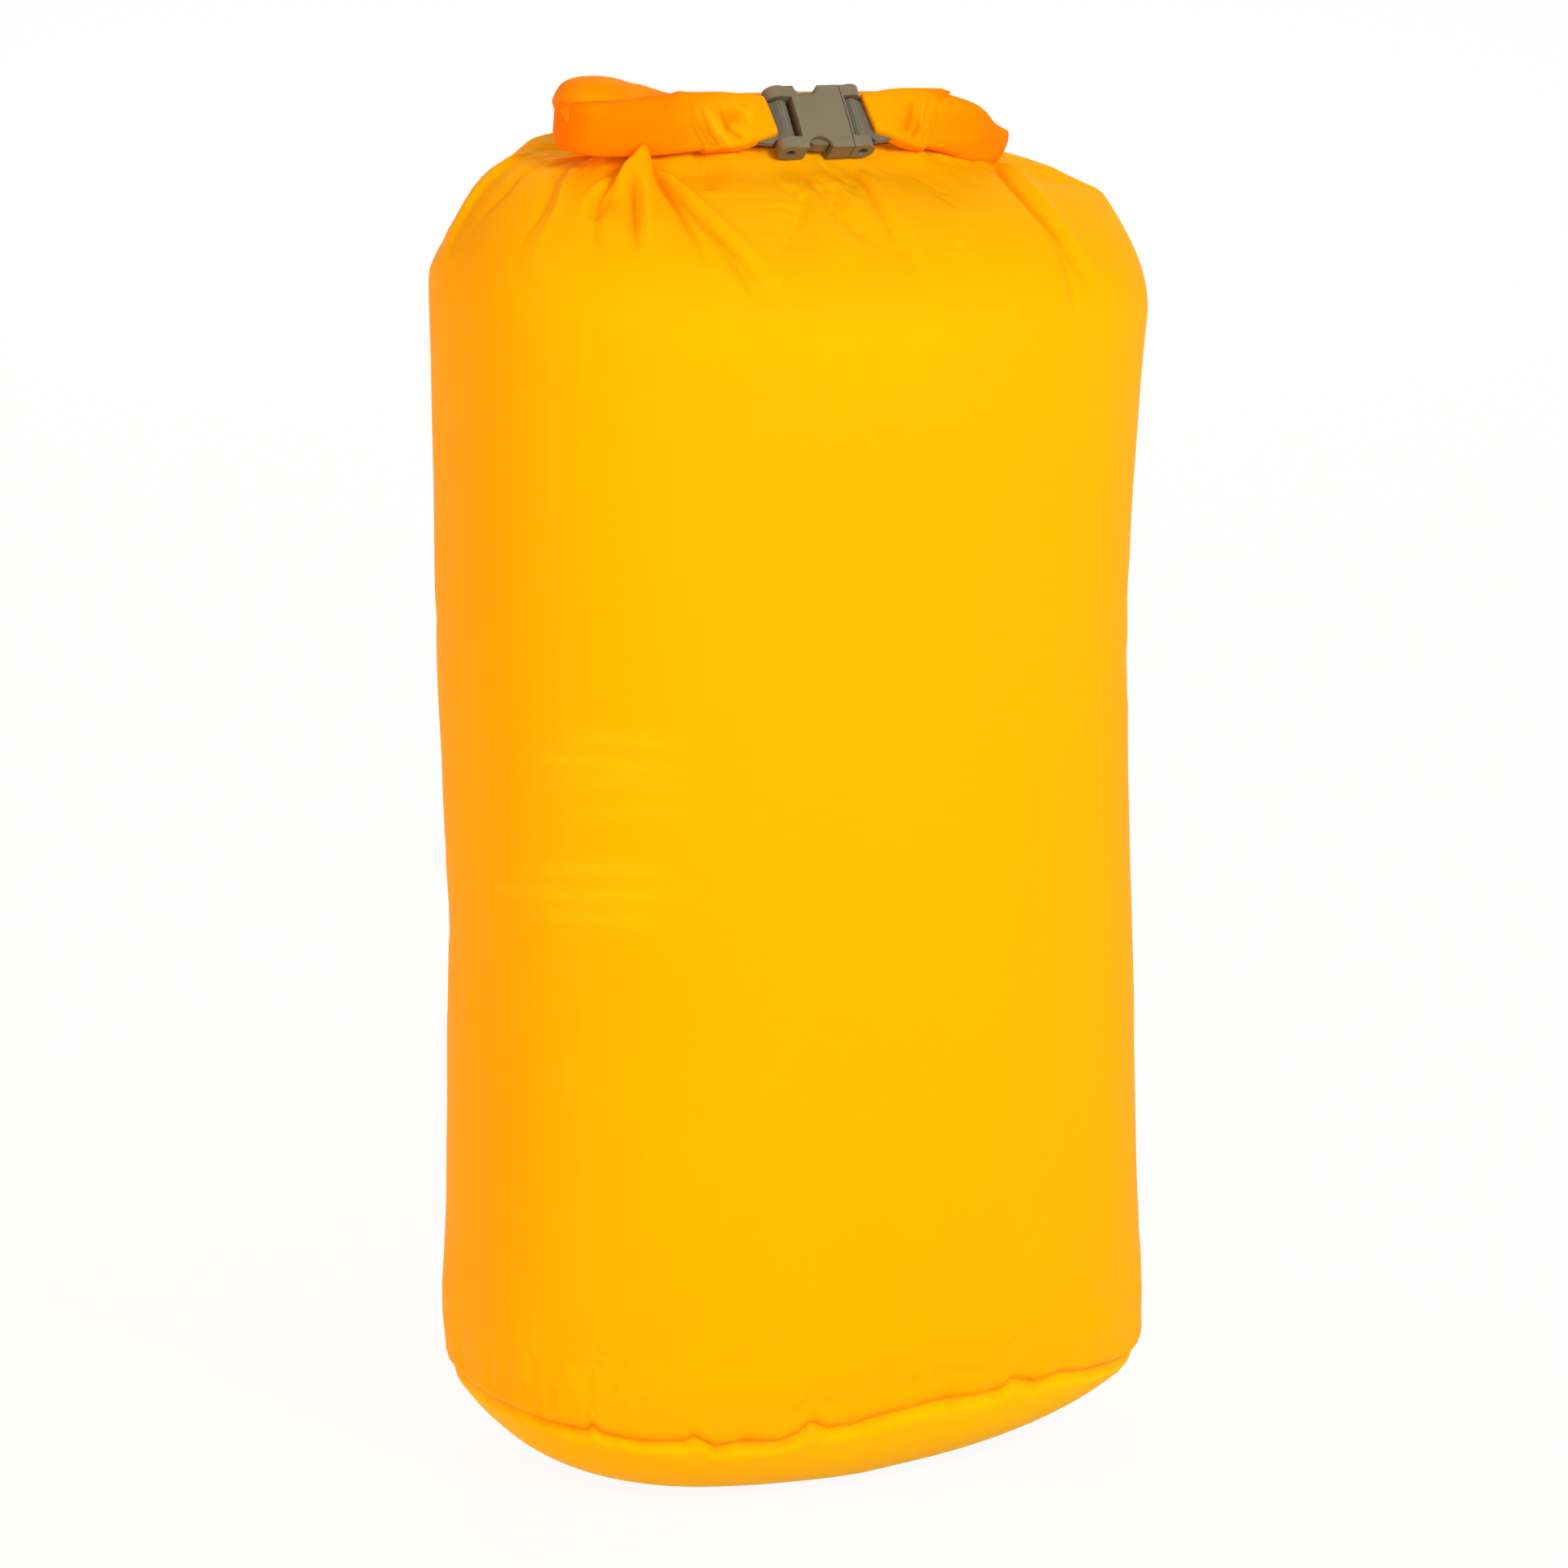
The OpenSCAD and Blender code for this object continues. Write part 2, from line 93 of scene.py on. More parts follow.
# The buckle's own frame: along the pull, through its thickness and across the webbing
PRONG_HINGE_X = 8.45 * MM
PRONG_HINGES = [np.array(JOINTS[name]["pos_m"]) for name in ("upper_squeeze", "lower_squeeze")]
BUCKLE_BACK = np.array(JOINTS["lower_squeeze"]["axis"])
BUCKLE_UP = np.cross(ROLL_ALONG, BUCKLE_BACK)
BUCKLE_MIDDLE = (PRONG_HINGES[0] + PRONG_HINGES[1]) / 2 - ROLL_ALONG * PRONG_HINGE_X

# Creases on the sack: degrees round it (270 faces front) and millimetres below the neck, with the
# height (a ridge is positive), the width on each side, and the share that each end fades over
CREASES = {
    "pinch_peak": ([(227.5, 29), (224, 34), (217.5, 44), (213, 61)], 12.4, 6.6, 3.4, 0.18, 0.85),
    "pinch_left": ([(217, 36), (213.2, 56), (216.5, 78)], -2, 1.6, 3, 0.3, 0.5),
    "pinch_left_rise": ([(212, 36), (209, 57), (211.5, 80)], 1.5, 2.2, 2.2, 0.3, 0.5),
    "pinch_mid": ([(220.5, 37), (223.8, 57), (226.2, 73.5), (228.5, 92)], -2.5, 1.4, 2.7, 0.25, 0.4),
    "pinch_mid_rise": ([(225, 37), (227.5, 57), (229.5, 73), (231.5, 90)], 1.8, 1.8, 2.9, 0.25, 0.4),
    "left_faint": ([(213.6, 60), (216.5, 78), (221.2, 96)], -1, 1.5, 2.5, 0.3, 0.4),
    "long_right": (
        [(226, 28), (238, 57), (244.2, 72.5), (249, 85), (252, 93), (257, 115)],
        -2.3, 1.3, 3.2, 0.15, 0.5,
    ),
    "long_right_rise": (
        [(228, 26), (240.5, 54), (246.6, 69), (251.5, 82), (259.5, 110)],
        1.5, 1.6, 2.9, 0.15, 0.5,
    ),
    "long_right_low": (
        [(224, 26), (232.8, 48), (238.8, 70), (243, 90), (244.5, 99)],
        -1.8, 1.2, 2.5, 0.2, 0.4,
    ),
    "long_right_far": ([(245, 80), (249.2, 93), (252.4, 108)], -1.4, 1.2, 2.5, 0.4, 0.5),
    "buckle_left": ([(266, 26), (267.8, 33), (267.5, 47), (267, 64)], -1.3, 2, 3.1, 0.2, 0.6),
    "buckle_mid": (
        [(273.2, 25), (276.4, 32), (276, 44), (274.6, 56), (273.8, 72), (274.4, 101)],
        -1.6, 1.6, 3.1, 0.15, 0.6,
    ),
    "buckle_right": (
        [(278, 30), (278.6, 44), (277, 58), (276.4, 74), (277, 100)],
        1.1, 2.2, 2, 0.2, 0.6,
    ),
    "right_long": (
        [(340, 32), (322, 49), (313, 66.5), (309.5, 82), (308.2, 94), (308.8, 116)],
        -2.5, 1.5, 3.2, 0.15, 0.5,
    ),
    "right_long_rise": (
        [(343, 37), (327, 52), (317, 69), (313, 84), (311.6, 114)],
        2, 3.2, 1.6, 0.15, 0.5,
    ),
    "right_low": ([(308, 80), (303, 106), (301.8, 122)], -1.1, 1.5, 2.5, 0.4, 0.5),
    "ear": ([(340, 58), (350, 76), (359, 94), (369, 114)], 5.2, 11, 17, 0.5, 0.5),
    "ear_tuck": ([(332, 44), (343, 58), (350, 76), (349, 94)], -2.6, 4, 8, 0.2, 0.5),
    "left_dent": ([(146, 82), (158, 98), (164, 120)], -4.4, 15, 16, 0.35, 0.4),
    "right_crown": ([(346, 56), (358, 66), (371, 74)], 1.2, 12, 14, 0.35, 0.35),
    "left_rise": ([(121, 44), (132, 55), (147, 66)], 4.0, 11, 12, 0.35, 0.35),
    "left_fold": ([(156, 46), (163, 60), (170, 80), (174, 104), (174.5, 126)], 2.6, 1.5, 7.2, 0.2, 0.5),
    "left_mid": ([(171.8, 35), (180, 67), (180, 89), (180, 106)], -1.4, 1.5, 3, 0.2, 0.5),
    "left_front": ([(182.2, 27), (196.8, 67), (197.6, 91), (199.5, 108)], -1.4, 1.5, 3, 0.2, 0.5),
    "left_front_rise": ([(186, 27), (201, 67), (202, 91), (204, 106)], 1.2, 3, 1.5, 0.2, 0.5),
    "rear_left": ([(128, 12), (124, 46), (118, 80), (116, 108)], -2.2, 1.5, 5.6, 0.2, 0.5),
    "rear_mid": ([(96, 10), (98, 44), (101, 74)], -1.7, 1.5, 4.8, 0.2, 0.5),
    "rear_mid_rise": ([(91, 10), (92, 46), (94, 80)], 1.6, 4.8, 2.0, 0.2, 0.5),
    "rear_right": ([(56, 12), (62, 48), (66, 82), (66, 112)], -2.3, 5.6, 1.5, 0.2, 0.5),
    "rear_right_rise": ([(50, 16), (56, 50), (60, 84), (60, 110)], 1.7, 2.0, 5.6, 0.2, 0.5),
    "rear_far_right": ([(28, 24), (36, 52), (40, 84)], -2.0, 1.5, 4.8, 0.2, 0.5),
    "press_1": ([(207, 270.5), (225.5, 267.5), (244, 269.5)], 0.6, 2.4, 2.4, 0.35, 0.35),
    "press_2": ([(196, 281.5), (221, 276.5), (244, 278.5)], 0.65, 2.4, 2.4, 0.35, 0.35),
    "press_3": ([(205, 288.5), (225, 283.5), (244, 285)], 0.45, 2.4, 2.4, 0.35, 0.35),
    "press_4": ([(210, 299.5), (229, 293.5), (245, 292.5)], 0.4, 2.4, 2.4, 0.35, 0.35),
    "press_5": ([(195, 323), (220.5, 316.5), (240, 315.5)], 0.7, 2.4, 2.4, 0.35, 0.35),
    "press_6": ([(175, 337), (198.5, 330), (220, 326.5), (244, 323.5)], 0.75, 2.4, 2.4, 0.35, 0.35),
    "press_7": ([(197, 339), (216.5, 335), (239, 336)], 0.65, 2.4, 2.4, 0.35, 0.35),
}

# Values between which a mask goes from dark to light
MASK_RANGE = (0.25, 0.75)

# Painted shade at the bottom of a fold and painted highlight on its crest: the colours that they mix in
FOLD_SHADE = (1.0, 0.2, 0.0)
FOLD_LIGHT = (1.0, 0.6, 0.01)

# How much of each shows for a millimetre of a fold, and at most
SHADE_GAIN = -0.5
SHADE_LIMIT = 1.0
LIGHT_GAIN = 0.2
LIGHT_LIMIT = 0.25

# Painted shade and highlight of a crease by its height: share, power, the millimetres over which it fades, and how
# pale the painted highlight on a crest gets at most
CREASE_SHADE_SHARE = 0.36
CREASE_SHADE_POWER = 2.2
CREASE_SHADE_FADE = 4
CREST_HIGHLIGHT_LIMIT = 0.6

# A crease this wide, in millimetres, is a change of form and gets no painted shade or highlight
BROAD = 6.5

# The pinch gets painted shade: by this much for each millimetre that it stands up
PINCH = "pinch_peak"
PINCH_SHADE = 0.075

# The pressed ridges get a painted highlight: by this much for each millimetre
PRESS = "press_"
PRESS_HIGHLIGHT = 2.4

# Painted shade below the neck, under the roll: how much at the neck, and how far below it this fades, in millimetres
NECK_SHADE = 0.12
NECK_REACH = 78.0

# Painted shade on the mouth, deeper away from its middle. Along the roll, in millimetres:
# the middle, where the painted shade starts and over how much it grows; then its depth at the left and the right end
DEEP_FROM = 4.0
DEEP_START = 25.0
DEEP_SPAN = 38.0
LEFT_MOUTH_SHADE = 2.1
RIGHT_MOUTH_SHADE = 1.45

# Share of that painted shade on the roll itself, whose top lies open to the light
ROLL_SHARE = 0.2

# Direction of the front, in radians round the sack, how much closer its columns are, and how sharply that starts
FRONT_AT = 4.36
FRONT_SHARE = 0.9
FRONT_EDGE = 0.8

# Where the faces are closer together, in metres: below the neck, over the pressed side, and above the base seam
CREASED = 0.125
PRESSED = (0.26, 0.347)
SEAM_SPAN = 0.04

# Face sizes up the cloth against those below the neck: over the pressed side, and on the plain cloth
PRESSED_STEP = 1.5
PLAIN_STEP = 4

# How sharp a crease's line is (2 is rounded, 1 is a knife edge), and how many widths it is felt over
FOLD_POWER = 1.25
CREASE_REACH = 3

# Height above which the sack leans, in metres
LEAN_FROM = 0.17

# Power of the base's rise towards its right and its left end
RIGHT_BELLY = 1.2
LEFT_BELLY = 3.0

# Where the base corners stand out most, as shares of the base edge's height, and over how much of it
RIGHT_CORNER_AT = 0.32
LEFT_CORNER_AT = 0.2
CORNER_SPREAD = 0.14

# Share of the right corner that comes forward, and how soon it does from the side to the front
CORNER_FORWARD = 0.6
CORNER_TURN = 1.5

# Gathers round the neck: how many folds, their turn in radians and their height in millimetres
GATHERS = ((23, 0.4, 0.34), (37, 1.9, 0.26), (14, 2.6, 0.4))

# How the gathers sway on their way down, how often round the sack, and where they start and fade below the neck,
# in millimetres
GATHER_SWAY = 0.012
GATHER_WAVES = 3
GATHER_START = 9
GATHER_REACH = 46

# Swells of the cloth under the mouth's arms in front and under the roll behind, in millimetres: height, distance
# below the neck and spread. The last value says how sharply they end at the sides
ARM_SWELL = (6.6, 19, 9.5)
ROLL_SWELL = (4.0, 11, 8)
SWELL_EDGE = 1.6

# Base seam, in millimetres: depth and width of its groove, and height, distance and width of the rims beside it
GROOVE = (1.5, 2.4)
RIMS = (0.5, 6.5, 3.2)
# Painted shade in the base seam's groove, for each millimetre of its depth
GROOVE_SHADE = 0.6

# Waves of smooth noise: height in millimetres, how the points are stretched for it, its scale and its seed
EVENLY = (1, 1, 1)
SEAM_PUCKERS = ((0.55, (1, 1, 0.35), 115, 3.0), (0.35, (1, 1, 0.3), 260, 5.0))
STUFFING = ((0.8, EVENLY, 13, 8.0), (0.25, EVENLY, 34, 9.0))
ROLL_WRINKLES = ((0.3, (0.6, 0.6, 1.5), 120, 11.0), (0.45, EVENLY, 48, 12.0), (0.55, (0.22, 1, 1), 150, 13.0))
END_WRINKLES = ((0.4, EVENLY, 75, 31.0), (0.25, (0.6, 1, 1.4), 170, 32.0))

# How far from the seam the puckers fade, and where the stuffing starts to show below the neck and from the seam,
# in millimetres
PUCKER_REACH = 7
STUFFED_BELOW = 60
STUFFED_FROM = 4
STUFFED_SPAN = 30

# Settings of the cloth simulation
SETTLING = {
    "quality": 6,
    "mass": 0.15,
    "tension_stiffness": 25,
    "compression_stiffness": 25,
    "shear_stiffness": 15,
    "bending_stiffness": 0.1,
    "use_pressure": True,
}

# Share of the simulated buckling that is kept all over, and that is added below the neck and above the seam, and how
# sharply those two end
SLACK = 0.25
NECK_SLACK = 0.75
SEAM_SLACK = 0.35
SLACK_EDGE = 1.5

# How far the cloth inside the roll is drawn together, as a share
COLLAR_DRAWN = 0.7

# Base panel: rows of faces over its edge and its floor, and how far the floor's rows shrink
EDGE_ROWS = 28
FLOOR_ROWS = 26
FLOOR_LAST = 0.02

# Distance of the lines beside the seam that its stitches take their slope from, in millimetres
SEAM_BESIDE = 0.6

# Seam pieces inside: the node that each stands for, its half width, thickness and depth inside, in millimetres
SEAM_PIECES = {
    "seam_edges": ("base_seam_allowance", 4.5, 1.2, 2.6),
    "seam_tape": ("base_seam_tape", 9.0, 0.5, 4.6),
}
TAPE_ROWS = 9
TAPE_DEEP = (0.5, 0.48, 0.42)

# Tape down the back seam: distance from the neck and the base seam, depth inside and thickness, in millimetres
BACK_TAPE_TOP = 18
BACK_TAPE_FOOT = 10
BACK_TAPE_DEPTH = 2.4
BACK_TAPE_THICK = 0.5
BACK_TAPE_ROWS = 160

# Part of the way round the sack that is its back, in radians, and the points that it is looked up at
BACK_ARC = (0.2 * np.pi, 0.8 * np.pi)
BACK_POINTS = 4000

# Base seam: degrees round the sack, and millimetres that the seam lies above its drawn line
SEAM_WAVE = [
    (0, -3), (20, 2), (38, 4), (56, 0), (61, 4), (66, 1), (84, -2), (98, 2), (104, 6), (110, 2), (128, -1),
    (146, 3), (160, 1), (178, 1), (197, 3), (209, 2), (217, 2), (218.5, 6), (221, 2), (230, 0), (238, 1),
    (240, 4), (244, -2), (248, 0), (255, -1), (258, 2), (260, 7), (262.5, 3), (266, 3), (270, 6), (275, 8),
    (281, 7), (286, 7), (288, 11), (293, 6), (298.5, 7), (307, 2), (328, -6), (344, -6), (360, -3),
]

# Where the rolled cloth's outer edge lies round the roll, in radians up from the back, and how it wanders: radians,
# and the millimetres along the roll over which it does
EDGE_AT = 0.35
EDGE_WANDER = ((0.10, 13), (0.06, 5))

# How much painted shade the roll's wrinkles get in their hollows, and painted highlight on their crests
WRINKLE_SHADING = 0.8

# Where the lifted mouth starts to bend and is fully bent, in millimetres in front of the roll's middle
BEND_BACK = -4.0
BEND_FRONT = -20.0

# Stations of the mouth, in the roll's own frame in millimetres: along, back, up, half thickness, half height,
# lean in degrees, squareness. The roll runs from its puffed left end to its pointed right end
ROLL_STATIONS = [
    (-87.2, -9.4, 6.6, 2.0, 3.0, 0, 2.1),
    (-86.0, -9.4, 6.8, 7.5, 7.2, 0, 2.1),
    (-83, -9.2, 6.8, 12.0, 10.6, 0, 2.2),
    (-79, -8.8, 6.4, 14.4, 12.6, 0, 2.2),
    (-73, -8.0, 6.0, 15.2, 13.5, 0, 2.2),
    (-66, -6.4, 5.0, 14.8, 13.6, 0, 2.2),
    (-56, -3.6, 3.0, 12.8, 12.6, 0, 2.2),
    (-47, -1.2, 1.2, 10.9, 11.2, 0, 2.1),
    (-38, 0, 0.3, 10.0, 10.2, 0, 2.1),
    (-20, 0, 0, 9.9, 9.9, 0, 2.1),
    (12, 0, 0, 9.9, 9.9, 0, 2.1),
    (44, 0, 0, 9.9, 9.9, 0, 2.1),
    (58, -1.0, -1.0, 9.4, 9.4, 0, 2.2),
    (68, -3.4, -3.2, 8.6, 8.2, 0, 2.2),
    (76, -7.2, -5.6, 7.6, 6.4, 0, 2.1),
    (82, -10.6, -6.9, 5.0, 4.8, 0, 2.0),
    (85.2, -12.4, -7.3, 1.4, 3.4, 0, 2.0),
]
LEFT_BAND_STATIONS = [
    (-32.5, -25.8, 7.0, 3.5, 9.5, 31, 4.0),
    (-38, -25.6, 6.9, 3.7, 9.9, 26, 4.0),
    (-46, -25.4, 6.8, 4.0, 10.6, 17, 4.0),
    (-60, -25.8, 6.2, 3.6, 10.8, 5, 4.0),
    (-72, -25.2, 5.2, 3.2, 10.4, 0, 4.0),
    (-80.8, -21.2, 4.4, 3.0, 9.8, 0, 4.0),
    (-84.6, -13.5, 3.9, 3.0, 9.2, 0, 4.0),
    (-84.4, -5.0, 3.6, 3.0, 9.0, 0, 3.6),
    (-80, 2.4, 4.2, 2.8, 10.0, 0, 3.2),
    (-71, 5.4, 3.4, 2.0, 9.0, 0, 3.0),
]
RIGHT_BAND_STATIONS = [
    (46, -25.2, 6.1, 3.8, 9.9, 25, 4.0),
    (49, -24.9, 5.8, 4.0, 10.3, 20, 4.0),
    (53, -24.4, 5.4, 4.2, 10.8, 13, 3.8),
    (62, -23.2, 3.0, 4.3, 11.0, 5, 3.6),
    (72, -21.0, -0.4, 4.2, 10.6, 0, 3.4),
    (79.5, -17.8, -4.4, 3.6, 8.8, 0, 3.2),
    (85.4, -14.8, -5.9, 2.6, 6.3, 0, 3.0),
    (90.0, -12.2, -4.2, 1.1, 2.4, 0, 2.6),
]
LEFT_END_STATIONS = [
    (-45, -25.4, 6.8, 4.5, 11.2, 18, 5.0),
    (-36, -25.7, 7.0, 4.4, 11.0, 28, 5.0),
    (-26, -26.2, 7.3, 4.2, 10.6, 38, 5.0),
    (-17, -26.5, 8.0, 3.7, 9.0, 44, 5.0),
    (-12.6, -26.6, 8.4, 3.1, 8.0, 46, 5.0),
]
RIGHT_END_STATIONS = [
    (54, -24.4, 5.5, 4.7, 11.4, 13, 5.0),
    (46, -25.2, 6.2, 4.4, 11.1, 25, 5.0),
    (38, -26.0, 7.0, 4.2, 10.6, 36, 5.0),
    (31, -26.5, 7.9, 3.7, 9.0, 44, 5.0),
    (26.6, -26.6, 8.4, 3.1, 8.0, 46, 5.0),
]

# The stiffening strip follows so many stations of the left and the right band, and these across the roll's back
STRIP_LEFT = 8
STRIP_RIGHT = 6
STRIP_BACK_STATIONS = [
    (-70, 1, 2, 0, 9, 0, 0),
    (0, 0, 0, 0, 9, 0, 0),
    (62, -2, -2, 0, 8, 0, 0),
]
STRIP_SQUARENESS = 5

# Creases on the end panels' fronts: places along the roll and up, height, and the width on each side
END_CREASES = {
    "left": [
        ([(-42, 14), (-38, 4), (-33, -2)], -1.76, 0.68, 1.69),
        ([(-40, 15), (-35, 5), (-29, -2)], 1.35, 1.8, 0.65),
        ([(-34, 13), (-30, 6), (-23, 1)], -1.08, 0.6, 1.43),
        ([(-27, 8), (-22, 11), (-17, 14)], 0.94, 1.5, 0.59),
        ([(-20, 12.7), (-28, 9.6), (-33, 5.8)], -1.1, 0.6, 1.3),
    ],
    "right": [
        ([(52, 15), (50, 6), (47, -3)], -1.62, 0.68, 1.69),
        ([(49, 15), (47, 6), (43, -2)], 1.22, 1.8, 0.65),
        ([(45, 14), (42, 7), (38, 2)], -0.94, 0.6, 1.3),
        ([(40, 0), (47, 6), (53, 11.5)], -1.1, 0.6, 1.4),
    ],
}

# Share of such a crease that each of its ends fades over
END_FADE = 0.35

# Stitch rows on the end panels' fronts: places along the roll and up
END_STITCHES = {
    "left": [(-34, 14.6), (-26, 14.2), (-17, 13.8)],
    "right": [(33, 14.2), (38, 14.6), (43, 15)],
}

# How much painted shade and highlight follow an end panel's creases, and the power of their height
END_CREASE_SHADING = 2.0
END_CREASE_SHADING_POWER = 1.3

# How far an end panel's rolled edge and its hem slant along the roll, for so many millimetres of height
END_SLANT = 5.0
HEM_SLANT = 1.6
SLANT_HEIGHT = 10

# An end panel's wrinkles calm down to this share at its hem. Its rolled edge is sunk by these millimetres, over one
# part in so many of its run
HEM_CALM = 0.35
EDGE_SUNK = 0.9
EDGE_SHARE = 12

# The webbing's loop: its gap round the bar and between its two layers, and where its layers part, in millimetres,
# and the degrees between which it goes round the bar
BAR_GAP = 0.15
LAYER_GAP = 0.05
PARTING = 3.2
LOOP_FROM = 75
LOOP_TO = 285

# Squareness of the webbing's section through its thickness and across it
WEBBING_THICK_POWER = 6
WEBBING_WIDE_POWER = 14

# Buckle: how far apart its welded points may lie, how much its edges are rounded, both in metres, and the bend in
# degrees from which an edge is one
WELD_GAP = 0.00001
EDGE_ROUND = 0.0004
EDGE_ANGLE = 28

# Stitches, in their own lengths: where the first starts, and from one start to the next
STITCH_FIRST = 0.3
STITCH_STEP = 1.25

# A stitch's rounded ends, in radians, and the power of its taper; its arch and how far it is sunk, in thread widths
STITCH_END = 0.12
STITCH_TAPER = 0.35
STITCH_ARCH = 0.55
STITCH_SUNK = 0.2

# Lamps: place, point that they are aimed at, width in metres and tint
LAMPS = {
    "front_light": ((0.45, -2.1, 1.6), (0, 0, 0.27), 1.0, (1.0, 0.97, 0.9)),
    "side_light": ((-1.9, -0.5, 0.9), (0, 0, 0.25), 1.4, (1.0, 0.55, 0.2)),
    "rear_light": ((0.9, 2.2, 1.7), (0, 0, 0.27), 1.4, (1.0, 0.97, 0.9)),
}

# Floor: its reach and its drop below the sack in metres, and the share of its white that no shadow darkens
FLOOR_REACH = 12.0
FLOOR_DROP = 0.0003
FLOOR_GLOW = 0.94


def length(title, text, value):
    """A length that a user may change."""
    return FloatProperty(name=title, description=text, default=value, unit="LENGTH", precision=4)


def colour(title, text, value):
    """A colour that a user may change, in linear light."""
    return FloatVectorProperty(name=title, description=text, default=value, subtype="COLOR", min=0, max=1)


class SackSizes(bpy.types.PropertyGroup):
    """Sizes of the stuffed cloth tube."""

    width: length("Width", "Across the ends, at the shoulder", 0.265)
    depth: length("Depth", "Front to back, at the shoulder", 0.186)
    shoulder: length("Shoulder", "Height where the top starts to close", 0.440)
    dome: length("Dome", "Rise from the shoulder to the neck", 0.052)
    waist_draw: length("Waist", "How far the sides draw in at mid height", 0.0036)
    seam: length("Base seam", "Height of the base seam", 0.030)
    edge_rise: length("Base edge", "Height of the rounded base edge", 0.054)
    foot_inset: length("Foot", "How far the foot lies inside the sides", 0.046)
    neck_half: length("Neck", "Half the neck's run along the roll", 0.0668)
    neck_depth: length("Neck depth", "Front to back, at the neck", 0.008)
    squareness: FloatProperty(name="Squareness", description="Power of the oval outline", default=2.45)
    end_slope: FloatProperty(name="End slope", description="How the ends close over the dome", default=0.9)
    front_slope: FloatProperty(name="Front slope", description="How the front closes over the dome", default=0.7)
    slump: FloatProperty(name="Slump", description="Fall of the top to one end", default=0.07854, subtype="ANGLE")
    belly: length("Belly", "How far the base curves up at its ends", 0.0125)
    left_corner: length("Left corner", "How far the left base corner stands out", 0.0034)
    right_corner: length("Right corner", "How far the right base corner stands out", 0.0076)
    lean: length("Lean", "Sideways lean of the upper half", 0.0032)
    columns: IntProperty(name="Columns", description="Faces round the cloth", default=620)
    collar_rows: IntProperty(name="Collar rows", description="Faces up the cloth inside the roll", default=8)
    collar_rise: length("Collar rise", "How far the neck's cloth goes up into the roll", 0.013)
    row_step: length("Row step", "Face size up the creased cloth", 0.001)
    settle_columns: IntProperty(name="Settling columns", description="Faces round the simulated cloth", default=140)
    settle_rows: IntProperty(name="Settling rows", description="Faces down the simulated cloth", default=96)
    settle_frames: IntProperty(name="Settling frames", description="Frames of the simulation", default=20)
    settle_reach: IntProperty(
        name="Settling reach", description="Faces over which the swelling is taken out", default=7
    )
    settle_pressure: FloatProperty(name="Settling pressure", description="Pressure of the stuffing", default=4.0)
    settle_fullness: FloatProperty(name="Settling fullness", description="Extra cloth, as a share", default=0.02)
    settle_span: length("Settling span", "How far below the neck the cloth is slackest", 0.085)
    settle_hold: length("Settling hold", "How near its sewn edges the cloth is held still", 0.016)
    settle_cap: length("Settling cap", "Farthest that the simulation moves the cloth", 0.003)


class MouthSizes(bpy.types.PropertyGroup):
    """Sizes of the rolled mouth, its ends and the webbing."""

    ply: length("Ply", "Thickness of the rolled cloth edge", 0.0007)
    strip_width: length("Strip width", "Width of the stiffening strip in the mouth", 0.011)
    strip_thick: length("Strip thickness", "Thickness of the stiffening strip", 0.001)
    webbing_width: length("Webbing width", "Width of the buckle tapes", 0.016)
    webbing_thick: length("Webbing thickness", "Thickness of the buckle tapes", 0.0012)
    tail: length("Tail", "Length of a tape from its bar into the mouth's end", 0.0125)
    boss: length("Boss", "Reach of the buckle's ends past its bars", 0.0047)
    droop: length("Droop", "How far a tape's lower edge hangs below its end panel", 0.0015)
    bar_x: length("Bar", "Distance of each bar from the buckle's middle", 0.01425)
    bar_radius: length("Bar radius", "Radius of the bars", 0.00175)
    stitch: length("Stitch", "Length of one stitch", 0.0022)
    thread: length("Thread", "Thickness of the thread", 0.00045)


class SackColours(bpy.types.PropertyGroup):
    """Colours of the finishes."""

    cloth: colour("Cloth", "Coated cloth of the sack", (1.0, 0.45, 0.001))
    # Paler than the cloth: painted light on the base panel, which faces away from the lamps
    base: colour("Base cloth", "Coated cloth of the base panel", (1.0, 0.55, 0.001))
    # Deeper than the cloth: painted shade on the rolled mouth and its end panels
    rolled: colour("Rolled cloth", "Cloth in many layers, at the mouth", (1.0, 0.38, 0.001))
    thread: colour("Thread", "Stitching", (1.0, 0.41, 0.01))
    tape: colour("Seam tape", "Sealing tape inside", (0.61, 0.59, 0.51))
    webbing: colour("Webbing", "Buckle tapes", (0.177, 0.165, 0.112))
    plastic: colour("Buckle", "Moulded plastic", (0.163, 0.138, 0.085))
    bar: colour("Bars", "Bars of the buckle", (0.147, 0.128, 0.088))


class StageSettings(bpy.types.PropertyGroup):
    """Camera and light."""

    azimuth: FloatProperty(
        name="Azimuth", description="Camera's turn round the sack", default=-0.41364, subtype="ANGLE"
    )
    elevation: FloatProperty(name="Elevation", description="Camera's height angle", default=0.30718, subtype="ANGLE")
    distance: length("Distance", "Camera to the sack's middle", 4.02)
    target: length("Target", "Height that the camera looks at", 0.255)
    aside: length("Aside", "Camera's shift to its left", 0.00285)
    below: length("Below", "Camera's shift downwards", 0.00135)
    lens: FloatProperty(name="Lens", description="Focal length in millimetres", default=249.7)
    key: FloatProperty(name="Key light", description="Power of the front light", default=47.5)
    fill: FloatProperty(name="Fill light", description="Power of the side light", default=22.2)
    rear: FloatProperty(name="Rear light", description="Power of the light behind", default=36.4)
    sky: FloatProperty(name="Sky", description="Strength of the light from all round", default=0.312)


def smooth(t):
    """Soft step from 0 to 1."""
    t = np.clip(t, 0, 1)
    return t * t * (3 - 2 * t)


def power(v, p):
    """Power that keeps the sign."""
    return np.sign(v) * np.abs(v) ** p


def unit(v):
    """Vectors of length one."""
    return v / (np.linalg.norm(v, axis=-1, keepdims=True) + 1e-12)


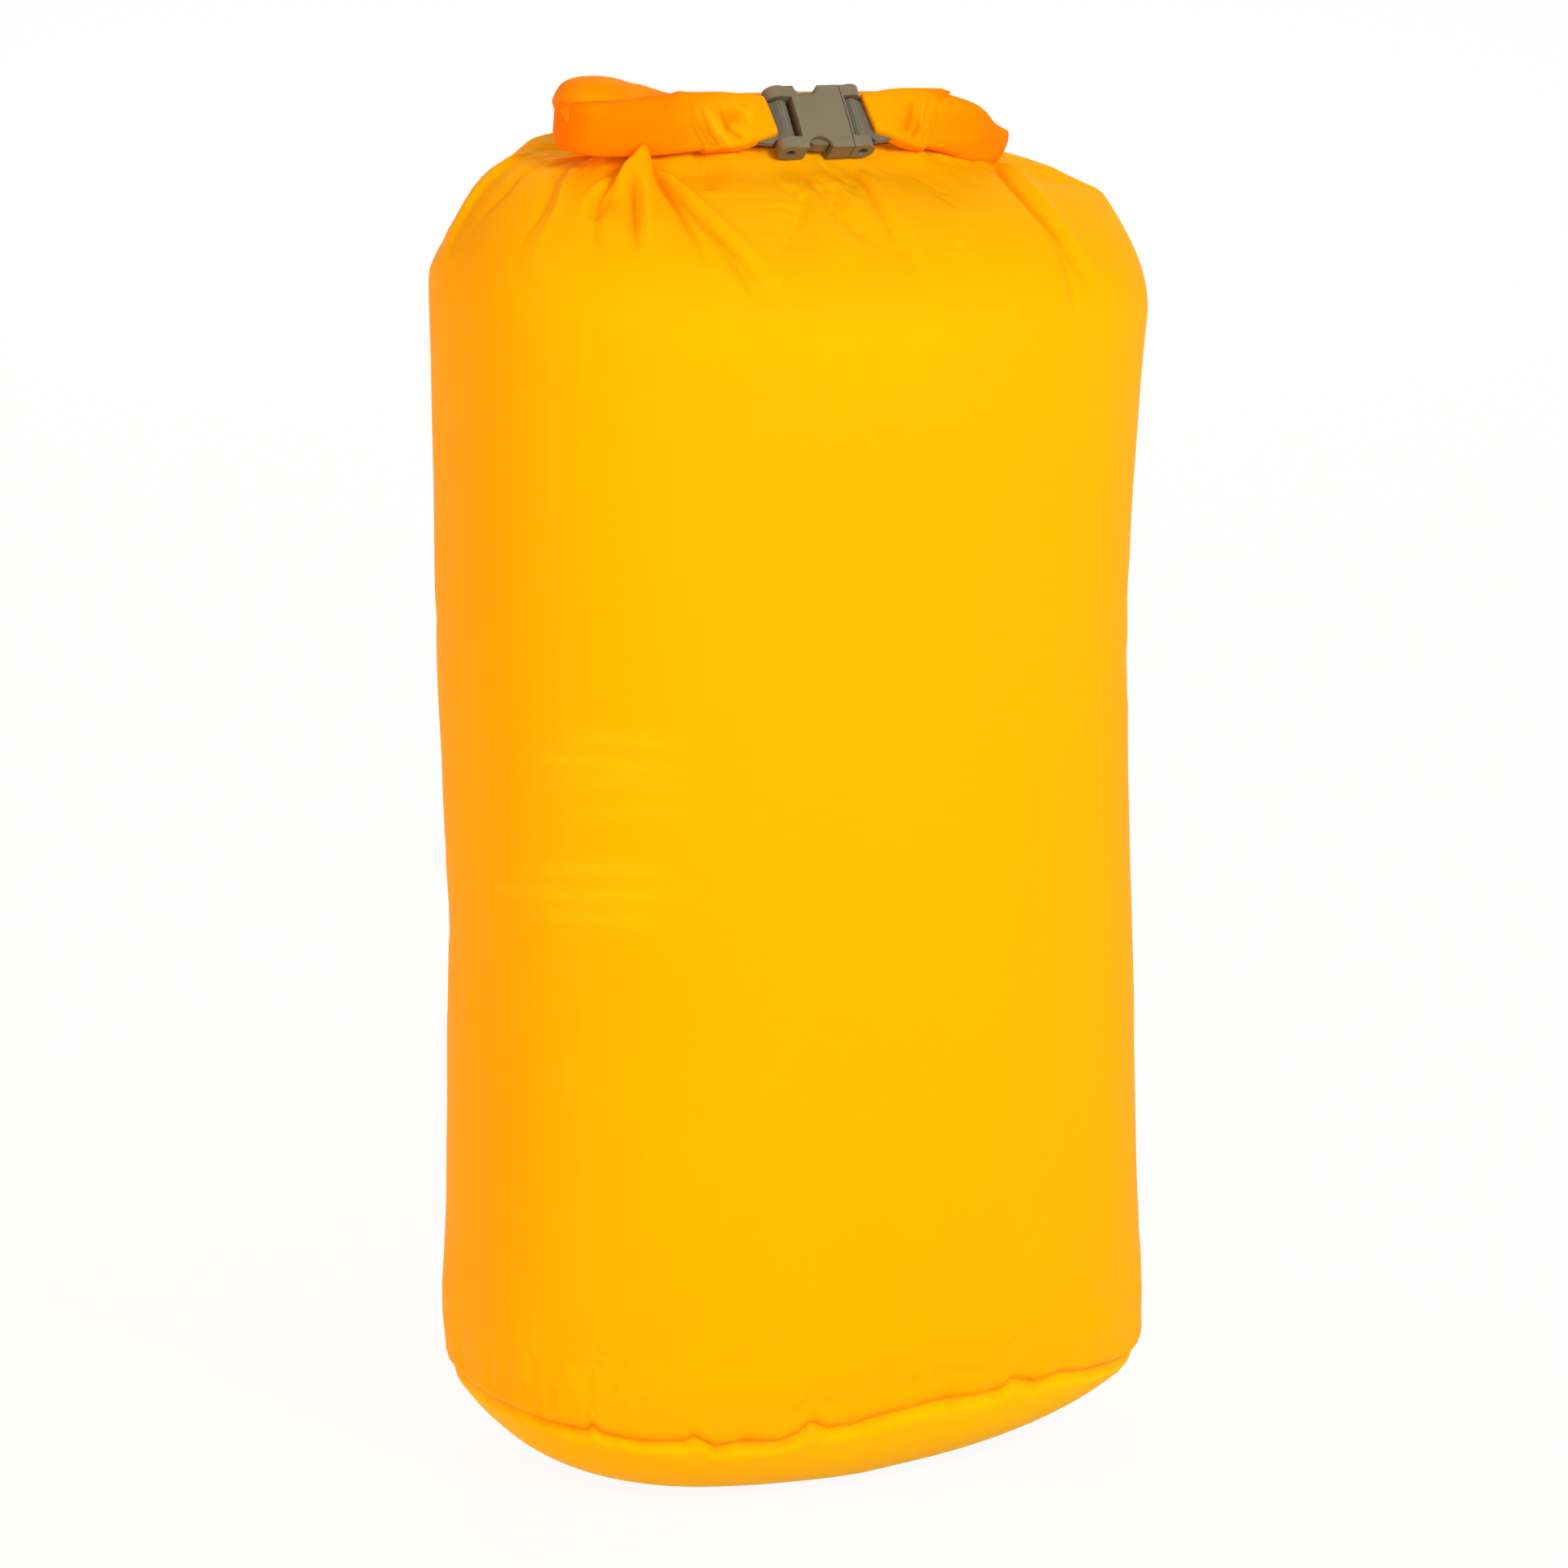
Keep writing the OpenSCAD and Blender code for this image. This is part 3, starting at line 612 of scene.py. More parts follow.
def through(stations, count):
    """A smooth run of that many rows through given stations, evenly spaced along the first three columns."""
    keys = np.array(stations, float)
    padded = np.vstack([2 * keys[0] - keys[1], keys, 2 * keys[-1] - keys[-2]])
    fine = []
    for i in range(len(keys) - 1):
        a, b, c, d = padded[i : i + 4]
        t = np.linspace(0, 1, STATION_STEPS, endpoint=False)[:, None]
        fine.append(
            0.5 * (2 * b + (c - a) * t + (2 * a - 5 * b + 4 * c - d) * t**2 + (3 * b - a - 3 * c + d) * t**3)
        )
    fine = np.vstack(fine + [keys[-1:]])
    run = np.r_[0, np.cumsum(np.linalg.norm(np.diff(fine[:, :3], axis=0), axis=1))]
    even = np.linspace(0, run[-1], count)
    return np.stack([np.interp(even, run, column) for column in fine.T], -1)


def painted_mouth_shade(along):
    """Painted shade along the mouth, deeper away from the buckle towards its ends."""
    deepest = np.where(along < DEEP_FROM, LEFT_MOUTH_SHADE, RIGHT_MOUTH_SHADE)
    return -deepest * smooth((np.abs(along - DEEP_FROM) - DEEP_START) / DEEP_SPAN)


class SackForm:
    """The stuffed tube: a point for any angle round it and any distance below its neck."""

    def __init__(self, sizes):
        self.sizes = sizes
        top = np.linspace(np.pi / 2, 0, DOME_LEVELS)
        side = np.linspace(0, 1, WALL_LEVELS)[1:]
        edge = np.linspace(np.pi / 2, 0, FOOT_LEVELS)[1:]
        middle = (sizes.shoulder + sizes.edge_rise) / 2
        closing = np.cos(top) ** sizes.front_slope
        dome = np.stack([
            sizes.shoulder + sizes.dome * np.sin(top),
            sizes.neck_half + (sizes.width / 2 - sizes.neck_half) * np.cos(top) ** sizes.end_slope,
            sizes.neck_depth / 2 + (sizes.depth - sizes.neck_depth) / 2 * closing,
            ROLL_MIDDLE[0] * (1 - np.cos(top)),
            ROLL_MIDDLE[1] * (1 - closing),
        ], -1)
        height = sizes.shoulder + (sizes.edge_rise - sizes.shoulder) * side
        draw = sizes.waist_draw * (1 - ((height - middle) / (sizes.shoulder - middle)) ** 2)
        flat = np.zeros_like(height)
        wall = np.stack([height, sizes.width / 2 - draw, sizes.depth / 2 - draw, flat, flat], -1)
        inset = sizes.foot_inset * (1 - np.sin(edge))
        flat = np.zeros_like(edge)
        foot = np.stack([
            sizes.edge_rise * (1 - np.cos(edge)), sizes.width / 2 - inset, sizes.depth / 2 - inset, flat, flat
        ], -1)
        self.levels = np.vstack([dome, wall, foot])
        front = np.stack([self.levels[:, 4] - self.levels[:, 2], self.levels[:, 0]], -1)
        self.run = np.r_[0, np.cumsum(np.linalg.norm(np.diff(front, axis=0), axis=1))]
        self.seam_run = np.interp(-sizes.seam, -self.levels[:, 0], self.run)
        self.foot_run = self.run[-1]
        self.neck_z = sizes.shoulder + sizes.dome

    def point(self, angle, run):
        """Points at those angles in radians and those distances below the neck in metres."""
        z, half_w, half_d, x0, y0 = (np.interp(run, self.run, column) for column in self.levels.T)
        x = x0 + half_w * power(np.cos(angle), 2 / self.sizes.squareness)
        y = y0 + half_d * power(np.sin(angle), 2 / self.sizes.squareness)
        share = smooth((z - self.sizes.edge_rise) / (self.neck_z - self.sizes.edge_rise))
        drop = (x - ROLL_MIDDLE[0]) * np.tan(self.sizes.slump) * share
        leaning = np.clip((z - LEAN_FROM) / (self.neck_z - LEAN_FROM), 0, 1)
        end = 2 * x / self.sizes.width
        level = z / self.sizes.edge_rise
        rise = np.abs(end) ** np.where(x > 0, RIGHT_BELLY, LEFT_BELLY)
        belly = self.sizes.belly * rise * (1 - smooth(level))
        low = np.exp(-((level - np.where(x > 0, RIGHT_CORNER_AT, LEFT_CORNER_AT)) ** 2) / CORNER_SPREAD)
        right, left = self.sizes.right_corner, self.sizes.left_corner
        corner = low * (right * smooth(end) - left * smooth(-end))
        forward = CORNER_FORWARD * right * low * smooth(end) * smooth(-CORNER_TURN * np.sin(angle))
        aside = corner - self.sizes.lean * np.sin(np.pi * leaning) ** 2
        return np.stack([x + aside, y - forward, z - drop + belly], -1)

    def angles(self, count):
        """Angles of that many columns round the sack, closer together in front where the creases are."""
        fine = np.linspace(0, 2 * np.pi, RING_POINTS)
        ring = self.point(fine, np.full_like(fine, self.foot_run / 2))
        closer = 1 + FRONT_SHARE * smooth(0.5 + FRONT_EDGE * np.cos(fine - FRONT_AT))
        run = np.r_[0, np.cumsum(closer[1:] * np.linalg.norm(np.diff(ring, axis=0), axis=1))]
        return np.interp(np.linspace(0, run[-1], count, endpoint=False), run, fine)

    def seam_at(self, angle):
        """Distance of the wavy base seam below the neck."""
        wave = np.array(SEAM_WAVE, float)
        return self.seam_run - MM * np.interp(np.degrees(angle) % 360, wave[:, 0], wave[:, 1])


def grid_normals(points, closed):
    """Outward normals of a grid whose columns run anticlockwise and whose rows run down."""
    if closed:
        along = np.roll(points, -1, 1) - np.roll(points, 1, 1)
    else:
        along = np.gradient(points, axis=1)
    down = np.gradient(points, axis=0)
    return unit(np.cross(down, along))


def crease(points, normals, line, height, width_left, width_right, fade_in, fade_out):
    """How far a crease along a line of points lifts each point of a grid."""
    lift = np.zeros(points.shape[:2])
    reach = CREASE_REACH * max(width_left, width_right)
    near = np.all((points > line.min(0) - reach) & (points < line.max(0) + reach), axis=-1)
    if not near.any():
        return lift
    spot, facing = points[near], normals[near]
    gap = np.linalg.norm(spot[:, None] - line[None], axis=-1)
    nearest = gap.argmin(1)
    share = nearest / (len(line) - 1)
    heading = unit(np.gradient(line, axis=0))[nearest]
    beside = np.einsum("ij,ij->i", spot - line[nearest], np.cross(facing, heading))
    width = np.where(beside > 0, width_left, width_right)
    fade = smooth(share / fade_in) * smooth((1 - share) / fade_out)
    lift[near] = height * fade * np.exp(-((gap[np.arange(len(spot)), nearest] / width) ** FOLD_POWER))
    return lift


def ripple(points, scale, seed):
    """Smooth noise at each point, between about -1 and 1."""
    shift = Vector([share * seed for share in NOISE_SHIFT])
    flat = points.reshape(-1, 3) * scale
    return np.array([noise.noise(Vector(p) + shift) for p in flat]).reshape(points.shape[:-1])


def wrinkles(points, waves):
    """Sum of some waves of noise at each point, in millimetres."""
    return sum(height * ripple(points * stretch, scale, seed) for height, stretch, scale, seed in waves)


def grid_piece(name, points, closed, across, down, finish, caps=False, fold=None):
    """A smooth mesh of a grid of points, with its lengths across and down as the cloth's own coordinates.

    fold holds, at each point, the painted shade where it is below zero and the painted highlight where it is above,
    for the finish to mix in."""
    rows, columns = points.shape[:2]
    r, c = np.meshgrid(np.arange(rows - 1), np.arange(columns if closed else columns - 1), indexing="ij")
    corners = [(r, c), (r + 1, c), (r + 1, c + 1), (r, c + 1)]
    quads = np.stack([a * columns + b % columns for a, b in corners], -1).reshape(-1, 4).tolist()
    if caps:
        quads += [list(range(columns)), list(range((rows - 1) * columns, rows * columns))[::-1]]
    mesh = bpy.data.meshes.new(name)
    mesh.from_pydata(points.reshape(-1, 3).tolist(), [], quads)
    place = np.stack([np.stack([across[b], down[a]], -1) for a, b in corners], 2).reshape(-1, 2)
    layer = mesh.uv_layers.new(name="cloth")
    values = np.zeros((len(mesh.loops), 2), np.float32)
    values[: len(place)] = place
    layer.data.foreach_set("uv", values.ravel())
    mesh.polygons.foreach_set("use_smooth", [True] * len(mesh.polygons))
    mesh.materials.append(finish)
    if fold is not None:
        mesh.attributes.new("fold", "FLOAT", "POINT").data.foreach_set("value", fold.astype(np.float32).ravel())
    mesh.validate()
    piece = bpy.data.objects.new(name, mesh)
    bpy.context.scene.collection.objects.link(piece)
    return piece


def lengths(points):
    """Running length along a line of points."""
    return np.r_[0, np.cumsum(np.linalg.norm(np.diff(points, axis=0), axis=1))]


def in_roll(points):
    """Points of the roll's own frame, in millimetres, as points of the shared frame."""
    return ROLL_MIDDLE + MM * (
        points[..., :1] * ROLL_ALONG + points[..., 1:2] * ROLL_BACK + points[..., 2:3] * ROLL_UP
    )


def in_buckle(points):
    """Points of the buckle's own frame, in metres, as points of the shared frame."""
    return BUCKLE_MIDDLE + (
        points[..., :1] * ROLL_ALONG + points[..., 1:2] * BUCKLE_BACK + points[..., 2:3] * BUCKLE_UP
    )


def swept_roll(stations, rows, sides, outward=None):
    """A grid of points round a flattened roll that runs through stations in the roll's own frame."""
    keys = through(stations, rows)
    heading = unit(np.gradient(keys[:, :2], axis=0))
    out = np.stack([-heading[:, 1], heading[:, 0], np.zeros(rows)], -1)
    if outward is not None:
        out = np.tile(np.array(outward, float), (rows, 1))
    up = np.tile([0.0, 0.0, 1.0], (rows, 1))
    lean = np.radians(keys[:, 5:6])
    out, up = out * np.cos(lean) + up * np.sin(lean), up * np.cos(lean) - out * np.sin(lean)
    turn = np.linspace(0, 2 * np.pi, sides, endpoint=False)
    thick = keys[:, 3:4] * power(np.cos(turn), 2 / keys[:, 6:7])
    high = keys[:, 4:5] * power(np.sin(turn), 2 / keys[:, 6:7])
    return keys[:, None, :3] + out[:, None] * thick[..., None] + up[:, None] * high[..., None]


def stitch_mesh(name, line, normals, stitch, thread, finish):
    """A row of raised thread stitches along a line of points."""
    run = lengths(line)
    starts = np.arange(stitch * STITCH_FIRST, run[-1] - stitch, stitch * STITCH_STEP)
    rings, sides = 7, 8
    turn = np.linspace(0, 2 * np.pi, sides, endpoint=False)
    verts, faces = [], []
    for start in starts:
        spots = start + np.linspace(0, stitch, rings)
        middle = np.stack([np.interp(spots, run, line[:, k]) for k in range(3)], -1)
        facing = unit(np.stack([np.interp(spots, run, normals[:, k]) for k in range(3)], -1))
        heading = unit(np.gradient(middle, axis=0))
        side = unit(np.cross(heading, facing))
        arch = np.sin(np.linspace(STITCH_END, np.pi - STITCH_END, rings))
        radius = thread / 2 * arch**STITCH_TAPER
        middle = middle + facing * (thread * STITCH_ARCH * arch - thread * STITCH_SUNK)[:, None]
        base = len(verts)
        for k in range(rings):
            ring = middle[k] + radius[k] * (
                np.cos(turn)[:, None] * side[k] + np.sin(turn)[:, None] * facing[k]
            )
            verts.extend(ring.tolist())
        for k in range(rings - 1):
            for m in range(sides):
                n = (m + 1) % sides
                this, that = base + k * sides, base + (k + 1) * sides
                faces.append([this + m, this + n, that + n, that + m])
        faces.append([base + m for m in range(sides)][::-1])
        faces.append([base + (rings - 1) * sides + m for m in range(sides)])
    mesh = bpy.data.meshes.new(name)
    mesh.from_pydata(verts, [], faces)
    mesh.polygons.foreach_set("use_smooth", [True] * len(mesh.polygons))
    mesh.materials.append(finish)
    piece = bpy.data.objects.new(name, mesh)
    bpy.context.scene.collection.objects.link(piece)
    return piece


def new_group(name, inputs, outputs):
    """An empty shader node group with named sockets, and its input and output nodes."""
    group = bpy.data.node_groups.new(name, "ShaderNodeTree")
    for title, kind, value in inputs:
        socket = group.interface.new_socket(name=title, in_out="INPUT", socket_type=kind)
        if value is not None:
            socket.default_value = value
    for title, kind in outputs:
        group.interface.new_socket(name=title, in_out="OUTPUT", socket_type=kind)
    return group, group.nodes.new("NodeGroupInput"), group.nodes.new("NodeGroupOutput")


def math_node(tree, operation, first, second=None):
    """A math node fed by sockets or plain numbers."""
    node = tree.nodes.new("ShaderNodeMath")
    node.operation = operation
    for slot, value in enumerate((first, second)):
        if isinstance(value, (int, float)):
            node.inputs[slot].default_value = value
        elif value is not None:
            tree.links.new(value, node.inputs[slot])
    return node.outputs[0]


def weave_group():
    """Over-and-under threads: their height, and a mask of the gaps between them."""
    name = "Plain weave"
    if name in bpy.data.node_groups:
        return bpy.data.node_groups[name]
    group, entry, leave = new_group(
        name,
        [
            ("Vector", "NodeSocketVector", None),
            ("Across", "NodeSocketFloat", 4000.0),
            ("Along", "NodeSocketFloat", 4000.0),
        ],
        [("Height", "NodeSocketFloat"), ("Gap", "NodeSocketFloat")],
    )
    split = group.nodes.new("ShaderNodeSeparateXYZ")
    group.links.new(entry.outputs["Vector"], split.inputs[0])
    warp = math_node(group, "SINE", math_node(group, "MULTIPLY", split.outputs[0], entry.outputs["Across"]))
    weft = math_node(group, "SINE", math_node(group, "MULTIPLY", split.outputs[1], entry.outputs["Along"]))
    height = math_node(group, "MULTIPLY", warp, weft)
    gap = math_node(group, "MULTIPLY", math_node(group, "ABSOLUTE", warp), math_node(group, "ABSOLUTE", weft))
    group.links.new(math_node(group, "ADD", math_node(group, "MULTIPLY", height, 0.5), 0.5), leave.inputs["Height"])
    group.links.new(math_node(group, "SUBTRACT", 1.0, gap), leave.inputs["Gap"])
    return group


def mottle_group():
    """Slow and fine uneven spots, as masks for colour and gloss."""
    name = "Uneven coat"
    if name in bpy.data.node_groups:
        return bpy.data.node_groups[name]
    group, entry, leave = new_group(
        name,
        [
            ("Vector", "NodeSocketVector", None),
            ("Broad", "NodeSocketFloat", 14.0),
            ("Fine", "NodeSocketFloat", 900.0),
        ],
        [("Patch", "NodeSocketFloat"), ("Grain", "NodeSocketFloat")],
    )
    for scale, detail, out in (("Broad", 3.0, "Patch"), ("Fine", 2.0, "Grain")):
        spots = group.nodes.new("ShaderNodeTexNoise")
        spots.inputs["Detail"].default_value = detail
        group.links.new(entry.outputs["Vector"], spots.inputs["Vector"])
        group.links.new(entry.outputs[scale], spots.inputs["Scale"])
        group.links.new(spots.outputs["Fac"], leave.inputs[out])
    return group


def place_group(tree, group, vector, **values):
    """A node group placed in a material with its own values."""
    node = tree.nodes.new("ShaderNodeGroup")
    node.node_tree = group
    tree.links.new(vector, node.inputs["Vector"])
    for title, value in values.items():
        node.inputs[title].default_value = value
    return node


def span(tree, factor, low, high):
    """A value that runs between two ends as a mask goes from dark to light."""
    node = tree.nodes.new("ShaderNodeMapRange")
    node.inputs["From Min"].default_value, node.inputs["From Max"].default_value = MASK_RANGE
    node.inputs["To Min"].default_value, node.inputs["To Max"].default_value = low, high
    tree.links.new(factor, node.inputs["Value"])
    return node.outputs[0]


def limited(tree, value, gain, limit):
    """A value times a gain, kept between nothing and a limit."""
    grown = math_node(tree, "MAXIMUM", math_node(tree, "MULTIPLY", value, gain), 0.0)
    return math_node(tree, "MINIMUM", grown, limit)


def seen_directly(tree):
    """A mask of what is looked at straight, in a gloss or through something clear."""
    rays = tree.nodes.new("ShaderNodeLightPath")
    seen = math_node(tree, "MAXIMUM", rays.outputs["Is Camera Ray"], rays.outputs["Is Glossy Ray"])
    return math_node(tree, "MAXIMUM", seen, rays.outputs["Is Transmission Ray"])


def blend_colour(tree, factor, first, second):
    """A colour between two as a mask goes from dark to light."""
    node = tree.nodes.new("ShaderNodeMix")
    node.data_type = "RGBA"
    for slot, value in ((6, first), (7, second)):
        if isinstance(value, bpy.types.NodeSocket):
            tree.links.new(value, node.inputs[slot])
        else:
            node.inputs[slot].default_value = (*value, 1.0)
    tree.links.new(factor, node.inputs[0])
    return node.outputs[2]


def tinted(value, share):
    """A colour made lighter or darker."""
    return tuple(min(1.0, channel * share) for channel in value)


def new_material(name):
    """A material with its tree, its shader and a bump node on the shader's normal."""
    material = bpy.data.materials.new(name)
    material.use_nodes = True
    tree = material.node_tree
    shader = tree.nodes["Principled BSDF"]
    bump = tree.nodes.new("ShaderNodeBump")
    tree.links.new(bump.outputs[0], shader.inputs["Normal"])
    return material, tree, shader, bump


def cloth_material(name, base, deep):
    """Thin coated nylon: fine weave, a soft gloss, slightly uneven colour, painted shade in its folds and painted
    highlight on their crests.
    """
    if name in bpy.data.materials:
        return bpy.data.materials[name]
    material, tree, shader, bump = new_material(name)
    where = tree.nodes.new("ShaderNodeTexCoord")
    weave = place_group(tree, weave_group(), where.outputs["UV"], Across=9000.0, Along=9000.0)
    coat = place_group(tree, mottle_group(), where.outputs["Object"], Broad=9.0, Fine=700.0)
    dyed_and_shaded = blend_colour(tree, span(tree, coat.outputs["Patch"], 0.0, 0.55), base, deep)
    folds = tree.nodes.new("ShaderNodeAttribute")
    folds.attribute_name = "fold"
    sunk = limited(tree, folds.outputs["Fac"], SHADE_GAIN, SHADE_LIMIT)
    raised = limited(tree, folds.outputs["Fac"], LIGHT_GAIN, LIGHT_LIMIT)
    # Painted shade at the bottom of folds, then painted highlight on their crests, read from the fold attribute
    dyed_and_shaded = blend_colour(tree, sunk, dyed_and_shaded, FOLD_SHADE)
    dyed_and_shaded = blend_colour(tree, raised, dyed_and_shaded, FOLD_LIGHT)
    threads = blend_colour(tree, span(tree, weave.outputs["Gap"], 0.0, 0.16), dyed_and_shaded, tinted(deep, 0.8))
    tree.links.new(threads, shader.inputs["Base Color"])
    tree.links.new(span(tree, coat.outputs["Grain"], 0.48, 0.62), shader.inputs["Roughness"])
    tree.links.new(weave.outputs["Height"], bump.inputs["Height"])
    bump.inputs["Strength"].default_value = 0.12
    bump.inputs["Distance"].default_value = 0.0002
    shader.inputs["Sheen Weight"].default_value = 0.02
    shader.inputs["Sheen Roughness"].default_value = 0.3
    shader.inputs["Sheen Tint"].default_value = (1.0, 0.45, 0.02, 1.0)
    shader.inputs["Specular IOR Level"].default_value = 0.03
    shader.inputs["Specular Tint"].default_value = (1.0, 0.55, 0.05, 1.0)
    return material


def webbing_material(name, base):
    """Ribbed polyester tape."""
    if name in bpy.data.materials:
        return bpy.data.materials[name]
    material, tree, shader, bump = new_material(name)
    where = tree.nodes.new("ShaderNodeTexCoord")
    weave = place_group(tree, weave_group(), where.outputs["UV"], Across=5200.0, Along=3600.0)
    coat = place_group(tree, mottle_group(), where.outputs["Object"], Broad=120.0, Fine=2600.0)
    yarn = blend_colour(tree, span(tree, coat.outputs["Grain"], 0.0, 1.0), tinted(base, 0.8), tinted(base, 1.25))
    tree.links.new(blend_colour(tree, weave.outputs["Gap"], yarn, tinted(base, 0.55)), shader.inputs["Base Color"])
    tree.links.new(span(tree, coat.outputs["Patch"], 0.7, 0.85), shader.inputs["Roughness"])
    tree.links.new(weave.outputs["Height"], bump.inputs["Height"])
    bump.inputs["Strength"].default_value = 0.6
    bump.inputs["Distance"].default_value = 0.0003
    shader.inputs["Sheen Weight"].default_value = 0.15
    return material


def plastic_material(name, base, rough_low, rough_high):
    """Moulded plastic with a fine spark-eroded grain and slightly worn patches."""
    if name in bpy.data.materials:
        return bpy.data.materials[name]
    material, tree, shader, bump = new_material(name)
    where = tree.nodes.new("ShaderNodeTexCoord")
    coat = place_group(tree, mottle_group(), where.outputs["Object"], Broad=70.0, Fine=5200.0)
    body = blend_colour(tree, span(tree, coat.outputs["Patch"], 0.0, 1.0), tinted(base, 0.93), tinted(base, 1.08))
    tree.links.new(body, shader.inputs["Base Color"])
    tree.links.new(span(tree, coat.outputs["Grain"], rough_low, rough_high), shader.inputs["Roughness"])
    tree.links.new(coat.outputs["Grain"], bump.inputs["Height"])
    bump.inputs["Strength"].default_value = 0.16
    bump.inputs["Distance"].default_value = 0.0002
    shader.inputs["Specular IOR Level"].default_value = 0.42
    return material


def thread_material(name, base):
    """Twisted sewing thread."""
    if name in bpy.data.materials:
        return bpy.data.materials[name]
    material, tree, shader, bump = new_material(name)
    where = tree.nodes.new("ShaderNodeTexCoord")
    coat = place_group(tree, mottle_group(), where.outputs["Object"], Broad=300.0, Fine=6000.0)
    tree.links.new(
        blend_colour(tree, coat.outputs["Grain"], tinted(base, 0.85), tinted(base, 1.1)), shader.inputs["Base Color"]
    )
    tree.links.new(span(tree, coat.outputs["Patch"], 0.5, 0.65), shader.inputs["Roughness"])
    tree.links.new(coat.outputs["Grain"], bump.inputs["Height"])
    bump.inputs["Strength"].default_value = 0.3
    bump.inputs["Distance"].default_value = 0.0001
    shader.inputs["Specular IOR Level"].default_value = 0.2
    return material


def sack_cloth():
    """Finish of the sack's single layer of cloth."""
    colours = bpy.context.scene.sack_colours
    return cloth_material("coated_cloth", tuple(colours.cloth), tinted(tuple(colours.cloth), 0.93))


def base_cloth():
    """Finish of the base panel's cloth, paler than the side's: painted light on the base, which faces away from the
    lamps.
    """
    colours = bpy.context.scene.sack_colours
    return cloth_material("base_cloth", tuple(colours.base), tinted(tuple(colours.base), 0.93))


def rolled_cloth():
    """Finish of the cloth at the mouth, deeper than the side's: painted shade on the rolled mouth and its end panels.
    """
    colours = bpy.context.scene.sack_colours
    return cloth_material("rolled_cloth", tuple(colours.rolled), tinted(tuple(colours.rolled), 0.9))


def thickened(piece, thickness):
    """Gives a sheet of cloth its thickness, on the inside."""
    shell = piece.modifiers.new("thickness", "SOLIDIFY")
    shell.thickness = thickness
    shell.offset = -1


def cloth_rows(form, sizes):
    """The side panel's grid: the angle of each point and its distance below the neck."""
    angles = form.angles(sizes.columns)
    seam = form.seam_at(angles)
    fine, middling, coarse = sizes.row_step, PRESSED_STEP * sizes.row_step, PLAIN_STEP * sizes.row_step
    foot = form.seam_run - SEAM_SPAN
    press_top, press_foot = PRESSED
    spans = (
        (0, CREASED, fine),
        (CREASED, press_top, coarse),
        (press_top, press_foot, middling),
        (press_foot, foot, coarse),
        (foot, form.seam_run, fine),
    )
    rows = [np.linspace(a, b, round((b - a) / step), endpoint=False) for a, b, step in spans]
    rows = np.r_[np.concatenate(rows), form.seam_run][:, None]
    run = rows + (seam - form.seam_run)[None] * smooth((rows - foot) / (form.seam_run - foot))
    return np.tile(angles, (len(rows), 1)), run


def swell(below, facing, height, middle, spread):
    """Rise of the cloth below the neck, on one side of the sack, in millimetres."""
    return height * (np.exp(-(((below - middle) / spread) ** 2)) * smooth(SWELL_EDGE * facing))


def seam_groove(from_seam):
    """Depth of the base seam's groove between its rims, in millimetres."""
    depth, width = GROOVE
    height, distance, spread = RIMS
    rims = height * np.exp(-(((np.abs(from_seam) - distance) / spread) ** 2))
    return depth * np.exp(-((from_seam / width) ** 2)) - rims


def dressed(form, turn, run):
    """Points of the cloth with its creases, neck gathers and seam puckers, and the painted shade and highlight that
    follow them.
    """
    points = form.point(turn, run)
    normals = grid_normals(points, True)
    below = run / MM
    lift, sharp, pinch_shading, pressed = np.zeros((4, *points.shape[:2]))
    for name, (line, height, left, right, fade_in, fade_out) in CREASES.items():
        track = through([(a, r, 0) for a, r in line], CREASE_POINTS)
        path = form.point(np.radians(track[:, 0]), track[:, 1] * MM)
        rise = crease(points, normals, path, height * MM, left * MM, right * MM, fade_in, fade_out)
        lift += rise
        if max(left, right) < BROAD:
            sharp += rise / MM
        if name == PINCH:
            pinch_shading += rise / MM
        if name.startswith(PRESS):
            pressed += rise / MM
    gathers = np.zeros_like(turn)
    for folds, start, height in GATHERS:
        gathers += height * np.sin(folds * turn + start + GATHER_SWAY * below * np.sin(GATHER_WAVES * turn))
    near_neck = smooth(below / GATHER_START) * np.exp(-((below / GATHER_REACH) ** 2))
    lift += MM * gathers * near_neck
    points = points + normals * lift[..., None]
    back = np.sin(turn)
    points[..., 2] += MM * (swell(below, -back, *ARM_SWELL) + swell(below, back, *ROLL_SWELL))
    from_seam = (form.seam_at(turn) - run) / MM
    groove = seam_groove(from_seam)
    pucker = np.exp(-np.abs(from_seam) / PUCKER_REACH) * wrinkles(points, SEAM_PUCKERS)
    stuffed = wrinkles(points, STUFFING)
    stuffed *= smooth(below / STUFFED_BELOW) * smooth((np.abs(from_seam) - STUFFED_FROM) / STUFFED_SPAN)
    # Painted shade in narrow creases, the seam's groove and the puckers' hollows, and painted highlight on their
    # crests
    fold = np.minimum(CREASE_SHADE_SHARE * power(sharp, CREASE_SHADE_POWER) * np.exp(-np.abs(sharp) / CREASE_SHADE_FADE), CREST_HIGHLIGHT_LIMIT)
    fold = fold - GROOVE_SHADE * np.maximum(groove, 0) + pucker
    at_neck = smooth((NECK_REACH - below) / NECK_REACH)
    # Painted highlight on the pressed ridges, painted shade below the neck and on the pinch
    fold += PRESS_HIGHLIGHT * pressed - NECK_SHADE * at_neck - PINCH_SHADE * pinch_shading
    return points + normals * (MM * (stuffed + pucker - groove))[..., None], fold


def blurred(field, reach):
    """A field on a closed grid with everything finer than the reach, in rows and columns, smoothed away."""
    far = 3 * reach
    steps = np.arange(-far, far + 1)
    kernel = np.exp(-((steps / reach) ** 2))
    kernel /= kernel.sum()
    round_it = sum(weight * np.roll(field, int(step), 1) for weight, step in zip(kernel, steps))
    ends = np.pad(round_it, ((far, far), (0, 0)), "edge")
    return sum(weight * ends[far + step : far + step + len(field)] for weight, step in zip(kernel, steps))


